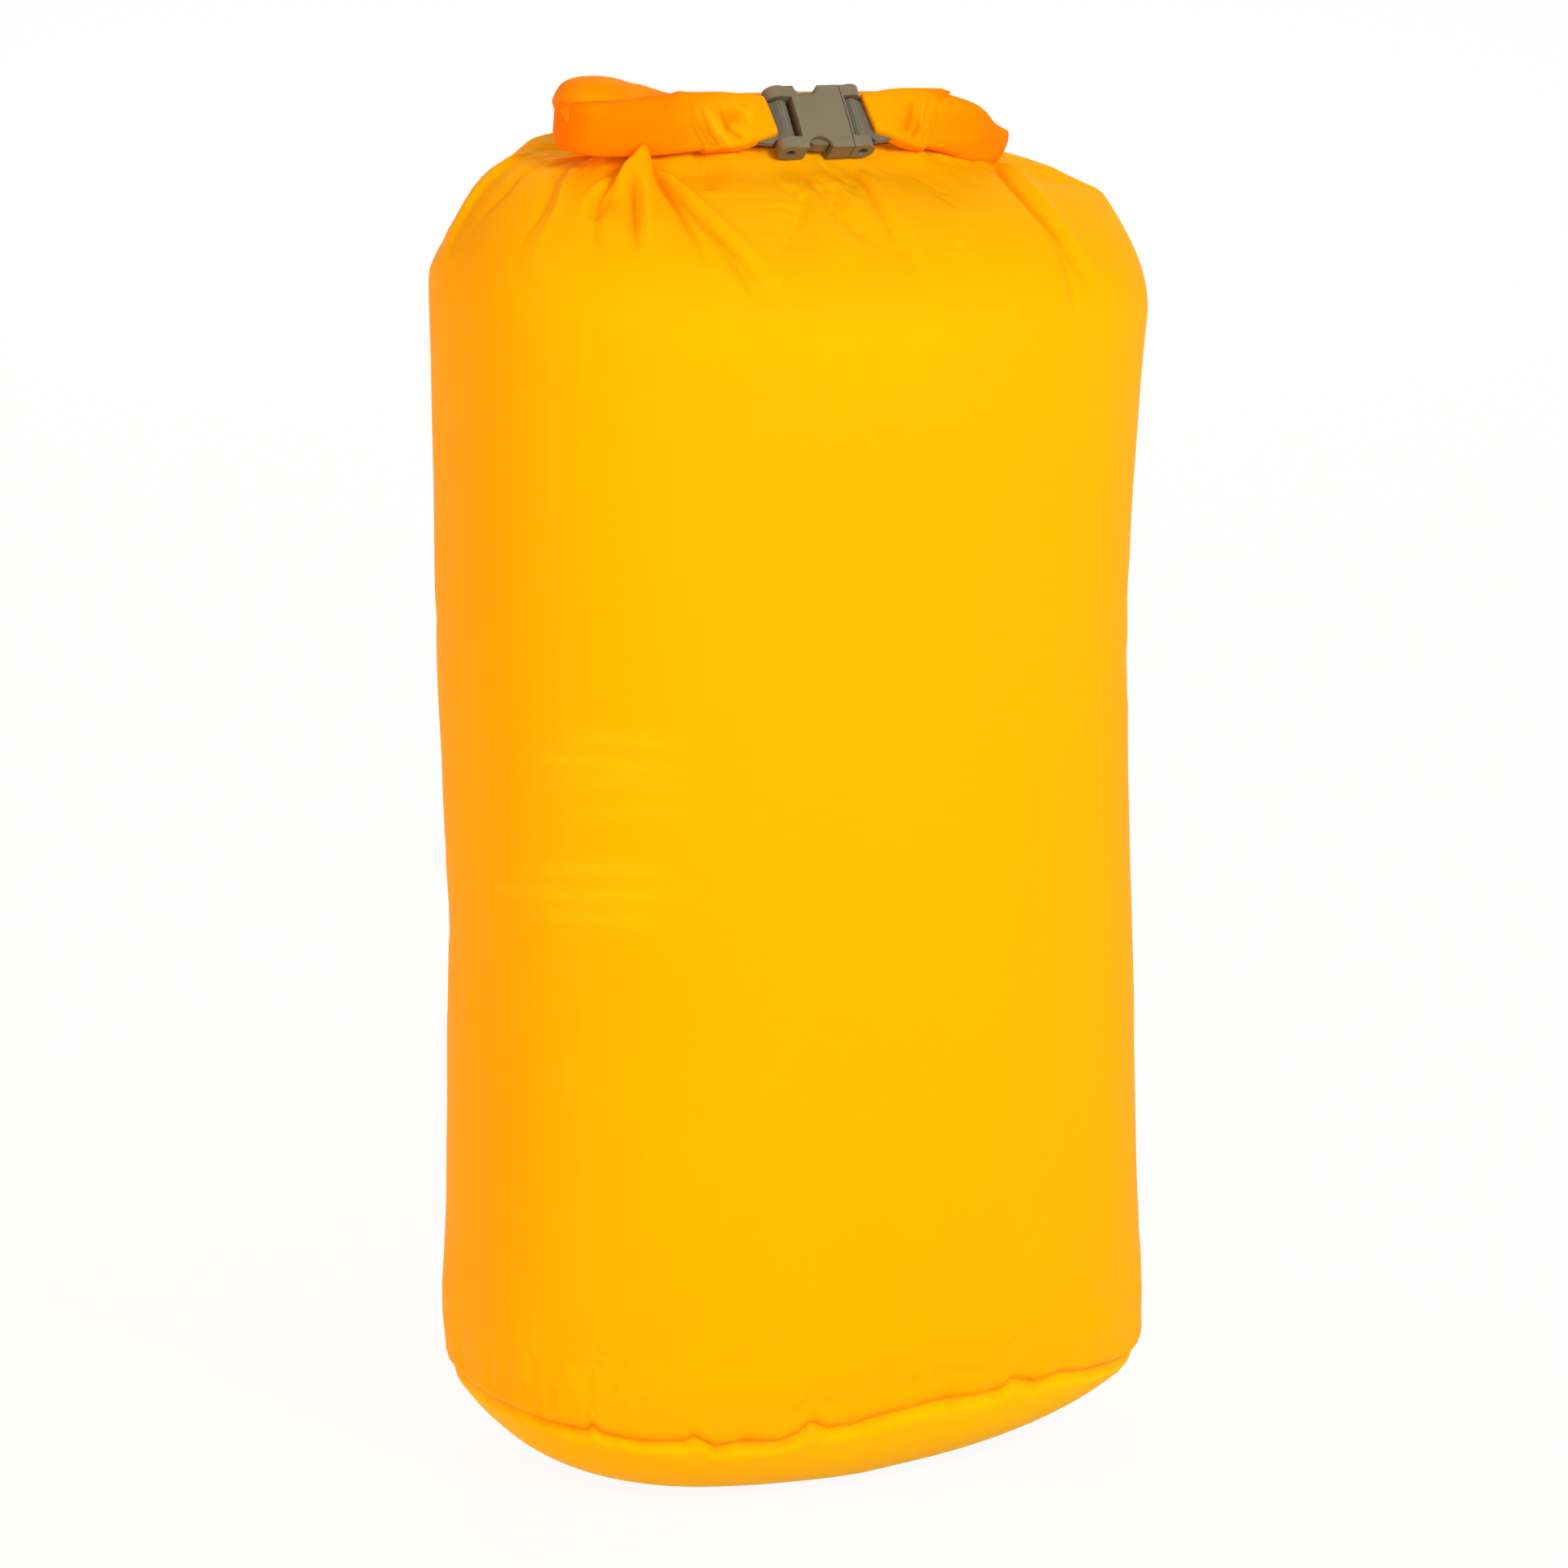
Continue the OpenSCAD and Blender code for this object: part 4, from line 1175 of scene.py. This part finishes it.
def settled(form, sizes):
    """How far the cloth buckles out of its drawn form when it is cut too full and blown up, by cloth simulation.

    Gives the angles and the shares of the way down that it holds at, and the buckling in metres."""
    angles = form.angles(sizes.settle_columns)
    shares = np.linspace(0, 1, sizes.settle_rows)
    run = shares[:, None] * form.seam_at(angles)[None]
    turn = np.tile(angles, (len(shares), 1))
    points = form.point(turn, run)
    trial = grid_piece("settling", points, True, np.arange(len(angles) + 1.0), shares, sack_cloth())
    ends = np.arange(points[..., 0].size).reshape(points.shape[:2])[[0, -1]].ravel()
    trial.vertex_groups.new(name="held").add(ends.tolist(), 1.0, "REPLACE")
    cloth = trial.modifiers.new("settling", "CLOTH")
    cloth.settings.vertex_group_mass = "held"
    for setting, value in SETTLING.items():
        setattr(cloth.settings, setting, value)
    cloth.settings.uniform_pressure_force = sizes.settle_pressure
    cloth.settings.shrink_min = -sizes.settle_fullness
    cloth.settings.effector_weights.gravity = 0.0
    cloth.collision_settings.use_collision = False
    scene = bpy.context.scene
    for step in range(1, sizes.settle_frames + 1):
        scene.frame_set(step)
    result = trial.evaluated_get(bpy.context.evaluated_depsgraph_get()).data
    moved = np.empty(3 * len(result.vertices), np.float32)
    result.vertices.foreach_get("co", moved)
    scene.frame_set(1)
    mesh = trial.data
    bpy.data.objects.remove(trial)
    bpy.data.meshes.remove(mesh)
    shift = moved.reshape(points.shape) - points
    out = np.einsum("ijk,ijk->ij", shift, grid_normals(points, True))
    out -= blurred(out, sizes.settle_reach)
    below, above = shares[:, None] * form.seam_run, (1 - shares[:, None]) * form.seam_run
    slack = SLACK + NECK_SLACK * smooth(SLACK_EDGE - below / sizes.settle_span)
    slack = slack + SEAM_SLACK * smooth(SLACK_EDGE - 2 * above / sizes.settle_span)
    slack *= smooth(below / sizes.settle_hold) * smooth(above / sizes.settle_hold)
    return angles, shares, slack * np.clip(out, -sizes.settle_cap, sizes.settle_cap)


def settled_at(form, settling, turn, run):
    """The buckling read at any angles and distances below the neck."""
    angles, shares, out = settling
    column = np.interp(turn, np.r_[angles, 2 * np.pi], np.arange(len(angles) + 1.0))
    row = np.clip(run / form.seam_at(turn), 0, 1) * (len(shares) - 1)
    c, r = np.floor(column).astype(int), np.minimum(np.floor(row).astype(int), len(shares) - 2)
    u, v = smooth(column - c), smooth(row - r)
    c, d = c % len(angles), (c + 1) % len(angles)
    return (1 - v) * ((1 - u) * out[r, c] + u * out[r, d]) + v * ((1 - u) * out[r + 1, c] + u * out[r + 1, d])


class SACK_OT_side_panel(bpy.types.Operator):
    """Makes the stuffed side panel with its creases, gathers and pressed folds"""

    bl_idname = "sack.side_panel"
    bl_label = "Side panel"

    def execute(self, context):
        sizes = context.scene.sack_sizes
        form = SackForm(sizes)
        turn, run = cloth_rows(form, sizes)
        points, fold = dressed(form, turn, run)
        buckling = settled_at(form, settled(form, sizes), turn, run)
        points += grid_normals(form.point(turn, run), True) * buckling[..., None]
        points, fold, down = self.with_collar(points, fold, run[:, 0], sizes)
        middle = len(points) // 2
        across = lengths(np.vstack([points[middle], points[middle, :1]]))
        panel = grid_piece("side_panel", points, True, across, down, sack_cloth(), fold=fold)
        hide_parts("sack_body")
        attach(panel, "sack")
        return {"FINISHED"}

    def with_collar(self, points, fold, down, sizes):
        """The panel with the neck's cloth drawn up into the roll, so that no gap is left below it."""
        share = np.linspace(1, 0, sizes.collar_rows, endpoint=False)[:, None]
        neck = points[0]
        aside = (neck - ROLL_MIDDLE) @ ROLL_BACK
        collar = neck[None] + sizes.collar_rise * share[..., None] * ROLL_UP
        collar = collar - COLLAR_DRAWN * (share * aside)[..., None] * ROLL_BACK
        above = down[0] - sizes.collar_rise * share[:, 0]
        folds = np.vstack([fold[:1]] * len(share) + [fold])
        return np.vstack([collar, points]), folds, np.r_[above, down]


class SACK_OT_base(bpy.types.Operator):
    """Makes the oval base panel, the stitched seam round it and the taped seams inside"""

    bl_idname = "sack.base"
    bl_label = "Base panel and seam"

    def execute(self, context):
        sizes, mouth = context.scene.sack_sizes, context.scene.mouth_sizes
        form = SackForm(sizes)
        angles = form.angles(sizes.columns)
        seam = form.seam_at(angles)
        share = np.linspace(0, 1, EDGE_ROWS)[:, None]
        run = seam[None] + (form.foot_run - seam)[None] * share
        edge, fold = dressed(form, np.tile(angles, (EDGE_ROWS, 1)), run)
        shrink = np.linspace(1, FLOOR_LAST, FLOOR_ROWS)[1:, None, None]
        floor = edge[-1][None] * shrink
        floor[..., 2] = edge[-1][None, :, 2] * shrink[..., 0] ** 2
        points = np.vstack([edge, floor])
        points[..., 2] = np.maximum(points[..., 2], 0.0)
        across = lengths(np.vstack([edge[0], edge[0, :1]]))
        fold = np.vstack([fold, np.zeros((FLOOR_ROWS - 1, len(angles)))])
        panel = grid_piece(
            "base_panel_cloth", points, True, across, lengths(points[:, 0]), base_cloth(), fold=fold
        )
        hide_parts("base_panel")
        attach(panel, "sack")

        thread = thread_material("sewing_thread", tuple(context.scene.sack_colours.thread))
        beside = SEAM_BESIDE * MM
        line, _ = dressed(form, np.tile(angles, (3, 1)), np.stack([seam - beside, seam, seam + beside]))
        ring = np.vstack([line[1], line[1, :1]])
        facing = grid_normals(line, True)[1]
        facing = np.vstack([facing, facing[:1]])
        row = stitch_mesh("base_seam_stitches", ring, facing, mouth.stitch, mouth.thread, thread)
        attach(row, "sack")
        tape = cloth_material("sealing_tape", tuple(context.scene.sack_colours.tape), TAPE_DEEP)
        self.seam_pieces(form, angles, seam, tape)
        self.back_tape(form, tape)
        return {"FINISHED"}

    def seam_pieces(self, form, angles, seam, tape):
        """The turned-in edges of the base seam and the tape over them, inside."""
        finishes = {"seam_edges": sack_cloth(), "seam_tape": tape}
        for name, (node, half, thickness, inside) in SEAM_PIECES.items():
            spread = np.linspace(-half, half, TAPE_ROWS)[:, None] * MM
            turn = np.tile(angles[::2], (TAPE_ROWS, 1))
            run = seam[None, ::2] + spread
            points, _ = dressed(form, turn, run)
            points = points - grid_normals(form.point(turn, run), True) * inside * MM
            middle = points[TAPE_ROWS // 2]
            across = lengths(np.vstack([middle, middle[:1]]))
            band = grid_piece(name, points, True, across, spread[:, 0], finishes[name])
            thickened(band, thickness * MM)
            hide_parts(node)
            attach(band, "sack")

    def back_tape(self, form, tape):
        """The tape down the back seam, inside."""
        low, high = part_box("side_seam_tape")
        middle, wide = (low.x + high.x) / 2, (high.x - low.x) / 2
        run = np.linspace(BACK_TAPE_TOP * MM, form.seam_run - BACK_TAPE_FOOT * MM, BACK_TAPE_ROWS)[:, None]
        ring = np.linspace(*BACK_ARC, BACK_POINTS)
        at = form.point(ring, np.full_like(ring, form.foot_run / 2))[:, 0]
        wanted = middle + np.linspace(wide, -wide, TAPE_ROWS)
        turn, run = np.broadcast_arrays(np.interp(-wanted, -at, ring)[None], run)
        flat = form.point(turn, run)
        points = flat - grid_normals(flat, False) * BACK_TAPE_DEPTH * MM
        across = np.linspace(-wide, wide, TAPE_ROWS)
        strip = grid_piece("back_seam_tape", points, False, across, run[:, 0], tape)
        thickened(strip, BACK_TAPE_THICK * MM)
        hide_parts("side_seam_tape")
        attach(strip, "sack")


class SACK_OT_rolled_mouth(bpy.types.Operator):
    """Makes the rolled mouth, bent forward at both ends, with the stiffening strip inside"""

    bl_idname = "sack.rolled_mouth"
    bl_label = "Rolled mouth"

    def execute(self, context):
        sizes = context.scene.mouth_sizes
        front, back = in_roll(np.array([[0, BEND_FRONT, 0], [0, BEND_BACK, 0]]))
        # Name, stations, the way that its sections face where it isn't bent, node, rows and sides
        pieces = (
            ("rolled_mouth", ROLL_STATIONS, (0, 1, 0), "rolled_collar", 260, 64),
            ("left_band", LEFT_BAND_STATIONS, None, "left_bend", 160, 56),
            ("right_band", RIGHT_BAND_STATIONS[::-1], None, "right_bend", 130, 56),
        )
        for name, stations, outward, node, rows, sides in pieces:
            local = swept_roll(stations, rows, sides, outward)
            is_roll = outward is not None
            if is_roll:
                local = local[:, ::-1]
            points = in_roll(local)
            normals = -grid_normals(points, True)
            wrinkle = wrinkles(points, ROLL_WRINKLES)
            if is_roll:
                wrinkle += self.ply_edge(local, sizes)
            points = points + normals * (MM * wrinkle)[..., None]
            across = lengths(np.vstack([points[rows // 2], points[rows // 2, :1]]))
            # Painted shade towards the mouth's ends, and painted shade and highlight following the wrinkles and the
            # ply's step
            fold = (ROLL_SHARE if is_roll else 1) * painted_mouth_shade(local[..., 0]) + WRINKLE_SHADING * wrinkle
            roll = grid_piece(
                name, points, True, across, lengths(points[:, 0]), rolled_cloth(), caps=True, fold=fold
            )
            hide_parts(node)
            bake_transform(roll)
        self.strip(context, sizes, front, back)
        return {"FINISHED"}

    def ply_edge(self, local, sizes):
        """Spiral step of the outer ply round the roll, in millimetres."""
        middle = local.mean(1, keepdims=True)
        around = np.arctan2(local[..., 2] - middle[..., 2], local[..., 1] - middle[..., 1])
        wander = sum(turn * np.sin(local[..., 0] / reach) for turn, reach in EDGE_WANDER)
        return 2 * sizes.ply / MM * ((around + wander - EDGE_AT) % (2 * np.pi) / np.pi - 1)

    def strip(self, context, sizes, front, back):
        """The stiffening strip that runs inside the roll from one end to the other."""
        left, right = LEFT_BAND_STATIONS[:STRIP_LEFT], RIGHT_BAND_STATIONS[:STRIP_RIGHT]
        keys = np.array(left + STRIP_BACK_STATIONS + right[::-1], float)
        keys[:, 3] = sizes.strip_thick / MM / 2
        keys[:, 4] = np.minimum(sizes.strip_width / MM / 2, keys[:, 4] / 2)
        keys[:, 6] = STRIP_SQUARENESS
        rows, sides = 200, 16
        points = in_roll(swept_roll(keys, rows, sides))
        across = lengths(np.vstack([points[rows // 2], points[rows // 2, :1]]))
        tape = webbing_material("stiff_tape", tuple(context.scene.sack_colours.rolled))
        strip = grid_piece("mouth_strip", points, True, across, lengths(points[:, 0]), tape, caps=True)
        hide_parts("back_stiffener", "left_stiffener", "right_stiffener")
        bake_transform(strip)


class SACK_OT_mouth_ends(bpy.types.Operator):
    """Makes the mouth's two sewn end panels that hold the webbing, with their stitch rows"""

    bl_idname = "sack.mouth_ends"
    bl_label = "Mouth ends"

    def execute(self, context):
        mouth = context.scene.mouth_sizes
        thread = thread_material("sewing_thread", tuple(context.scene.sack_colours.thread))
        ends = (
            ("left", LEFT_END_STATIONS, "female_half", -1),
            ("right", RIGHT_END_STATIONS, "male_half", 1),
        )
        rows, sides = 90, 72
        for side, stations, body, sign in ends:
            local = swept_roll(stations, rows, sides, outward=(0, -1, 0))
            away = np.linspace(1, 0, rows)[:, None] ** 2
            head = (local[..., 2] - local[..., 2].mean(1, keepdims=True)) / SLANT_HEIGHT
            local[..., 0] += head * (sign * END_SLANT * away - HEM_SLANT * (1 - away))
            if sign < 0:
                local = local[:, ::-1]
            points = in_roll(local)
            normals = -grid_normals(points, True)
            lift = MM * wrinkles(points, END_WRINKLES) * np.linspace(1, HEM_CALM, rows)[:, None]
            lift -= EDGE_SUNK * MM * (1 - smooth(np.linspace(0, EDGE_SHARE, rows)))[:, None]
            for line, height, left, right in END_CREASES[side]:
                path = self.on_panel(points, line, stations)
                lift += crease(points, normals, path, height * MM, left * MM, right * MM, END_FADE, END_FADE)
            points = points + normals * lift[..., None]
            across = lengths(np.vstack([points[rows // 2], points[rows // 2, :1]]))
            # Painted shade towards the mouth's ends, and painted shade and highlight following the panel's creases
            # and wrinkles
            fold = painted_mouth_shade(local[..., 0]) + END_CREASE_SHADING * power(lift / MM, END_CREASE_SHADING_POWER)
            panel = grid_piece(
                f"{side}_mouth_end", points, True, across, lengths(points[:, 0]), rolled_cloth(), caps=True, fold=fold
            )
            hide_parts(f"{side}_collar_end")
            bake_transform(panel)
            seam = self.on_panel(points, END_STITCHES[side], stations)
            facing = np.tile(-BUCKLE_BACK, (len(seam), 1))
            row = stitch_mesh(f"{side}_end_stitches", seam, facing, mouth.stitch, mouth.thread, thread)
            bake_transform(row)
        return {"FINISHED"}

    def on_panel(self, points, line, stations):
        """A smooth line on an end panel's front, through places given along the roll and up its face."""
        spots = through([(x, z, 0) for x, z in line], PANEL_POINTS)[:, :2]
        flat = (points - ROLL_MIDDLE) / MM
        along, back, up = flat @ ROLL_ALONG, flat @ ROLL_BACK, flat @ ROLL_UP
        facing = back < np.array([key[1] for key in stations]).mean()
        found = []
        for x, z in spots:
            gap = np.where(facing, np.hypot(along - x, up - z), np.inf)
            found.append(points.reshape(-1, 3)[gap.argmin()])
        found = np.array(found)
        reach = 2
        width = 2 * reach + 1
        kernel = np.ones(width) / width
        ends = np.vstack([found[:1]] * reach + [found] + [found[-1:]] * reach)
        return np.stack([np.convolve(column, kernel, "valid") for column in ends.T], -1)


class SACK_OT_webbing(bpy.types.Operator):
    """Makes the two woven tapes that loop round the buckle's bars"""

    bl_idname = "sack.webbing"
    bl_label = "Webbing"

    def execute(self, context):
        sizes = context.scene.mouth_sizes
        finish = webbing_material("ribbed_tape", tuple(context.scene.sack_colours.webbing))
        radius = sizes.bar_radius + BAR_GAP * MM + sizes.webbing_thick / 2
        lie = sizes.webbing_thick / 2 + LAYER_GAP * MM
        turn = np.linspace(np.radians(LOOP_FROM), np.radians(LOOP_TO), 25)
        loop = np.stack([radius * np.cos(turn), radius * np.sin(turn)], -1)
        out = np.linspace(sizes.tail, PARTING * MM, 10)
        top = np.stack([out, np.full_like(out, lie)], -1)
        path = np.vstack([top, loop, top[::-1] * [1, -1]])
        rows, sides = 120, 40
        path = through([(x * 1000, y * 1000, 0) for x, y in path], rows)[:, :2] * MM
        heading = unit(np.gradient(path, axis=0))
        beside = np.stack([-heading[:, 1], heading[:, 0]], -1)
        turn = np.linspace(0, 2 * np.pi, sides, endpoint=False)
        thick = sizes.webbing_thick / 2 * power(np.cos(turn), 2 / WEBBING_THICK_POWER)
        wide = sizes.webbing_width / 2 * power(np.sin(turn), 2 / WEBBING_WIDE_POWER)
        flat = path[:, None] + beside[:, None] * thick[None, :, None]
        for side, body, sign in (("left", "female_half", -1), ("right", "male_half", 1)):
            local = np.concatenate([flat, np.broadcast_to(wide[None, :, None], (rows, sides, 1))], -1)
            past = path[:, 0] - sizes.boss
            droop = sizes.droop * smooth(past / sizes.droop) * (1 - smooth(past / sizes.tail))
            local[..., 2] -= droop[:, None] * (wide < 0)[None]
            local[..., 0] = sign * (local[..., 0] + sizes.bar_x)
            if sign < 0:
                local = local[:, ::-1]
            points = in_buckle(local)
            across = lengths(np.vstack([points[0], points[0, :1]]))
            tape = grid_piece(f"{side}_webbing", points, True, across, lengths(points[:, 0]), finish, caps=True)
            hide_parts(f"{side}_webbing_tab")
            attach(tape, body)
        return {"FINISHED"}


class SACK_OT_buckle(bpy.types.Operator):
    """Gives the buckle's moulded parts their softened edges and grain"""

    bl_idname = "sack.buckle"
    bl_label = "Buckle finishes"

    def execute(self, context):
        colours = context.scene.sack_colours
        moulded = plastic_material("moulded_taupe", tuple(colours.plastic), 0.42, 0.58)
        turned = plastic_material("bar_taupe", tuple(colours.bar), 0.35, 0.5)
        finishes = {
            "buckle_female": moulded,
            "buckle_male": moulded,
            "upper_prong": moulded,
            "lower_prong": moulded,
            "female_pin": turned,
            "male_pin": turned,
        }
        for name, finish in finishes.items():
            part = frame["nodes"][name]
            part.data.materials.clear()
            part.data.materials.append(finish)
            weld = part.modifiers.new("weld", "WELD")
            weld.merge_threshold = WELD_GAP
            soften = part.modifiers.new("edges", "BEVEL")
            soften.width = EDGE_ROUND
            soften.segments = 3
            soften.limit_method = "ANGLE"
            soften.angle_limit = math.radians(EDGE_ANGLE)
            soften.harden_normals = True
            evened = part.modifiers.new("normals", "WEIGHTED_NORMAL")
            evened.keep_sharp = True
        return {"FINISHED"}


class SACK_OT_stage(bpy.types.Operator):
    """Makes the floor, the studio light and the camera"""

    bl_idname = "sack.stage"
    bl_label = "Stage"

    def execute(self, context):
        stage = context.scene.stage_settings
        self.floor()
        self.world(stage)
        self.lamp("front_light", stage.key)
        self.lamp("side_light", stage.fill)
        rear = self.lamp("rear_light", stage.rear)
        rear.visible_glossy = False
        self.camera(context, stage)
        context.scene.view_settings.view_transform = "Standard"
        return {"FINISHED"}

    def floor(self):
        """A wide white floor that shows the sack's soft shadow."""
        mesh = bpy.data.meshes.new("floor")
        reach = FLOOR_REACH
        corners = [(-reach, -reach, 0), (reach, -reach, 0), (reach, reach, 0), (-reach, reach, 0)]
        mesh.from_pydata(corners, [], [(0, 1, 2, 3)])
        material = bpy.data.materials.new("white_floor")
        material.use_nodes = True
        tree = material.node_tree
        shader = tree.nodes["Principled BSDF"]
        shader.inputs["Base Color"].default_value = (0.9, 0.9, 0.9, 1.0)
        shader.inputs["Roughness"].default_value = 1.0
        shader.inputs["Specular IOR Level"].default_value = 0.0
        seen = seen_directly(tree)
        glow = tree.nodes.new("ShaderNodeEmission")
        glow.inputs["Strength"].default_value = 1.0
        mixed = tree.nodes.new("ShaderNodeMixShader")
        tree.links.new(math_node(tree, "MULTIPLY", seen, FLOOR_GLOW), mixed.inputs[0])
        tree.links.new(shader.outputs[0], mixed.inputs[1])
        tree.links.new(glow.outputs[0], mixed.inputs[2])
        tree.links.new(mixed.outputs[0], tree.nodes["Material Output"].inputs["Surface"])
        mesh.materials.append(material)
        floor = bpy.data.objects.new("floor", mesh)
        floor.location.z = -FLOOR_DROP
        bpy.context.scene.collection.objects.link(floor)

    def world(self, stage):
        """Even light from all round, seen as plain white."""
        world = bpy.data.worlds.new("studio")
        bpy.context.scene.world = world
        world.use_nodes = True
        tree = world.node_tree
        background = tree.nodes["Background"]
        background.inputs["Color"].default_value = (1, 1, 1, 1)
        seen = seen_directly(tree)
        level = tree.nodes.new("ShaderNodeMapRange")
        level.inputs["To Min"].default_value = stage.sky
        level.inputs["To Max"].default_value = 1.0
        tree.links.new(seen, level.inputs["Value"])
        tree.links.new(level.outputs[0], background.inputs["Strength"])

    def lamp(self, name, watts):
        """A large soft lamp aimed at a point."""
        place, aim, width, tint = LAMPS[name]
        data = bpy.data.lights.new(name, "AREA")
        data.shape = "DISK"
        data.size = width
        data.energy = watts
        data.color = tint
        lamp = bpy.data.objects.new(name, data)
        lamp.location = place
        lamp.rotation_euler = (Vector(aim) - Vector(place)).to_track_quat("-Z", "Y").to_euler()
        bpy.context.scene.collection.objects.link(lamp)
        return lamp

    def camera(self, context, stage):
        """The camera at its fitted place."""
        turn, rise = stage.azimuth, stage.elevation
        back = Vector((math.sin(turn) * math.cos(rise), -math.cos(turn) * math.cos(rise), math.sin(rise)))
        right = Vector((math.cos(turn), math.sin(turn), 0))
        up = back.cross(right)
        data = bpy.data.cameras.new("camera")
        data.lens = stage.lens
        data.sensor_width = 36
        data.sensor_fit = "HORIZONTAL"
        data.clip_end = 100
        camera = bpy.data.objects.new("camera", data)
        target = Vector((0, 0, stage.target))
        camera.location = target + back * stage.distance - right * stage.aside - up * stage.below
        camera.rotation_euler = (-back).to_track_quat("-Z", "Y").to_euler()
        context.scene.collection.objects.link(camera)
        context.scene.camera = camera


class SACK_PT_panel(bpy.types.Panel):
    """Lists the sack's sizes, colours and pieces"""

    bl_label = "Roll-top sack"
    bl_idname = "SACK_PT_panel"
    bl_space_type = "VIEW_3D"
    bl_region_type = "UI"
    bl_category = "Sack"

    def draw(self, context):
        for group in GROUPS:
            box = self.layout.box()
            box.label(text=GROUPS[group][0])
            settings = getattr(context.scene, group)
            for name in settings.bl_rna.properties.keys():
                if name not in {"rna_type", "name"}:
                    box.prop(settings, name)
        for operator in OPERATORS:
            self.layout.operator(operator.bl_idname)


GROUPS = {
    "sack_sizes": ("Sack", SackSizes),
    "mouth_sizes": ("Mouth and webbing", MouthSizes),
    "sack_colours": ("Colours", SackColours),
    "stage_settings": ("Stage", StageSettings),
}
OPERATORS = (
    SACK_OT_side_panel,
    SACK_OT_base,
    SACK_OT_rolled_mouth,
    SACK_OT_mouth_ends,
    SACK_OT_webbing,
    SACK_OT_buckle,
    SACK_OT_stage,
)


def register():
    """Registers the settings, the operators and the panel."""
    for group, (_, settings) in GROUPS.items():
        bpy.utils.register_class(settings)
        setattr(bpy.types.Scene, group, PointerProperty(type=settings))
    for operator in OPERATORS:
        bpy.utils.register_class(operator)
    bpy.utils.register_class(SACK_PT_panel)


def unregister():
    """Takes the panel, the operators and the settings away again."""
    bpy.utils.unregister_class(SACK_PT_panel)
    for operator in reversed(OPERATORS):
        bpy.utils.unregister_class(operator)
    for group, (_, settings) in GROUPS.items():
        delattr(bpy.types.Scene, group)
        bpy.utils.unregister_class(settings)


def main():
    register()
    bpy.ops.sack.side_panel()
    bpy.ops.sack.base()
    bpy.ops.sack.rolled_mouth()
    bpy.ops.sack.mouth_ends()
    bpy.ops.sack.webbing()
    bpy.ops.sack.buckle()
    bpy.ops.sack.stage()


if __name__ == "__main__":
    main()
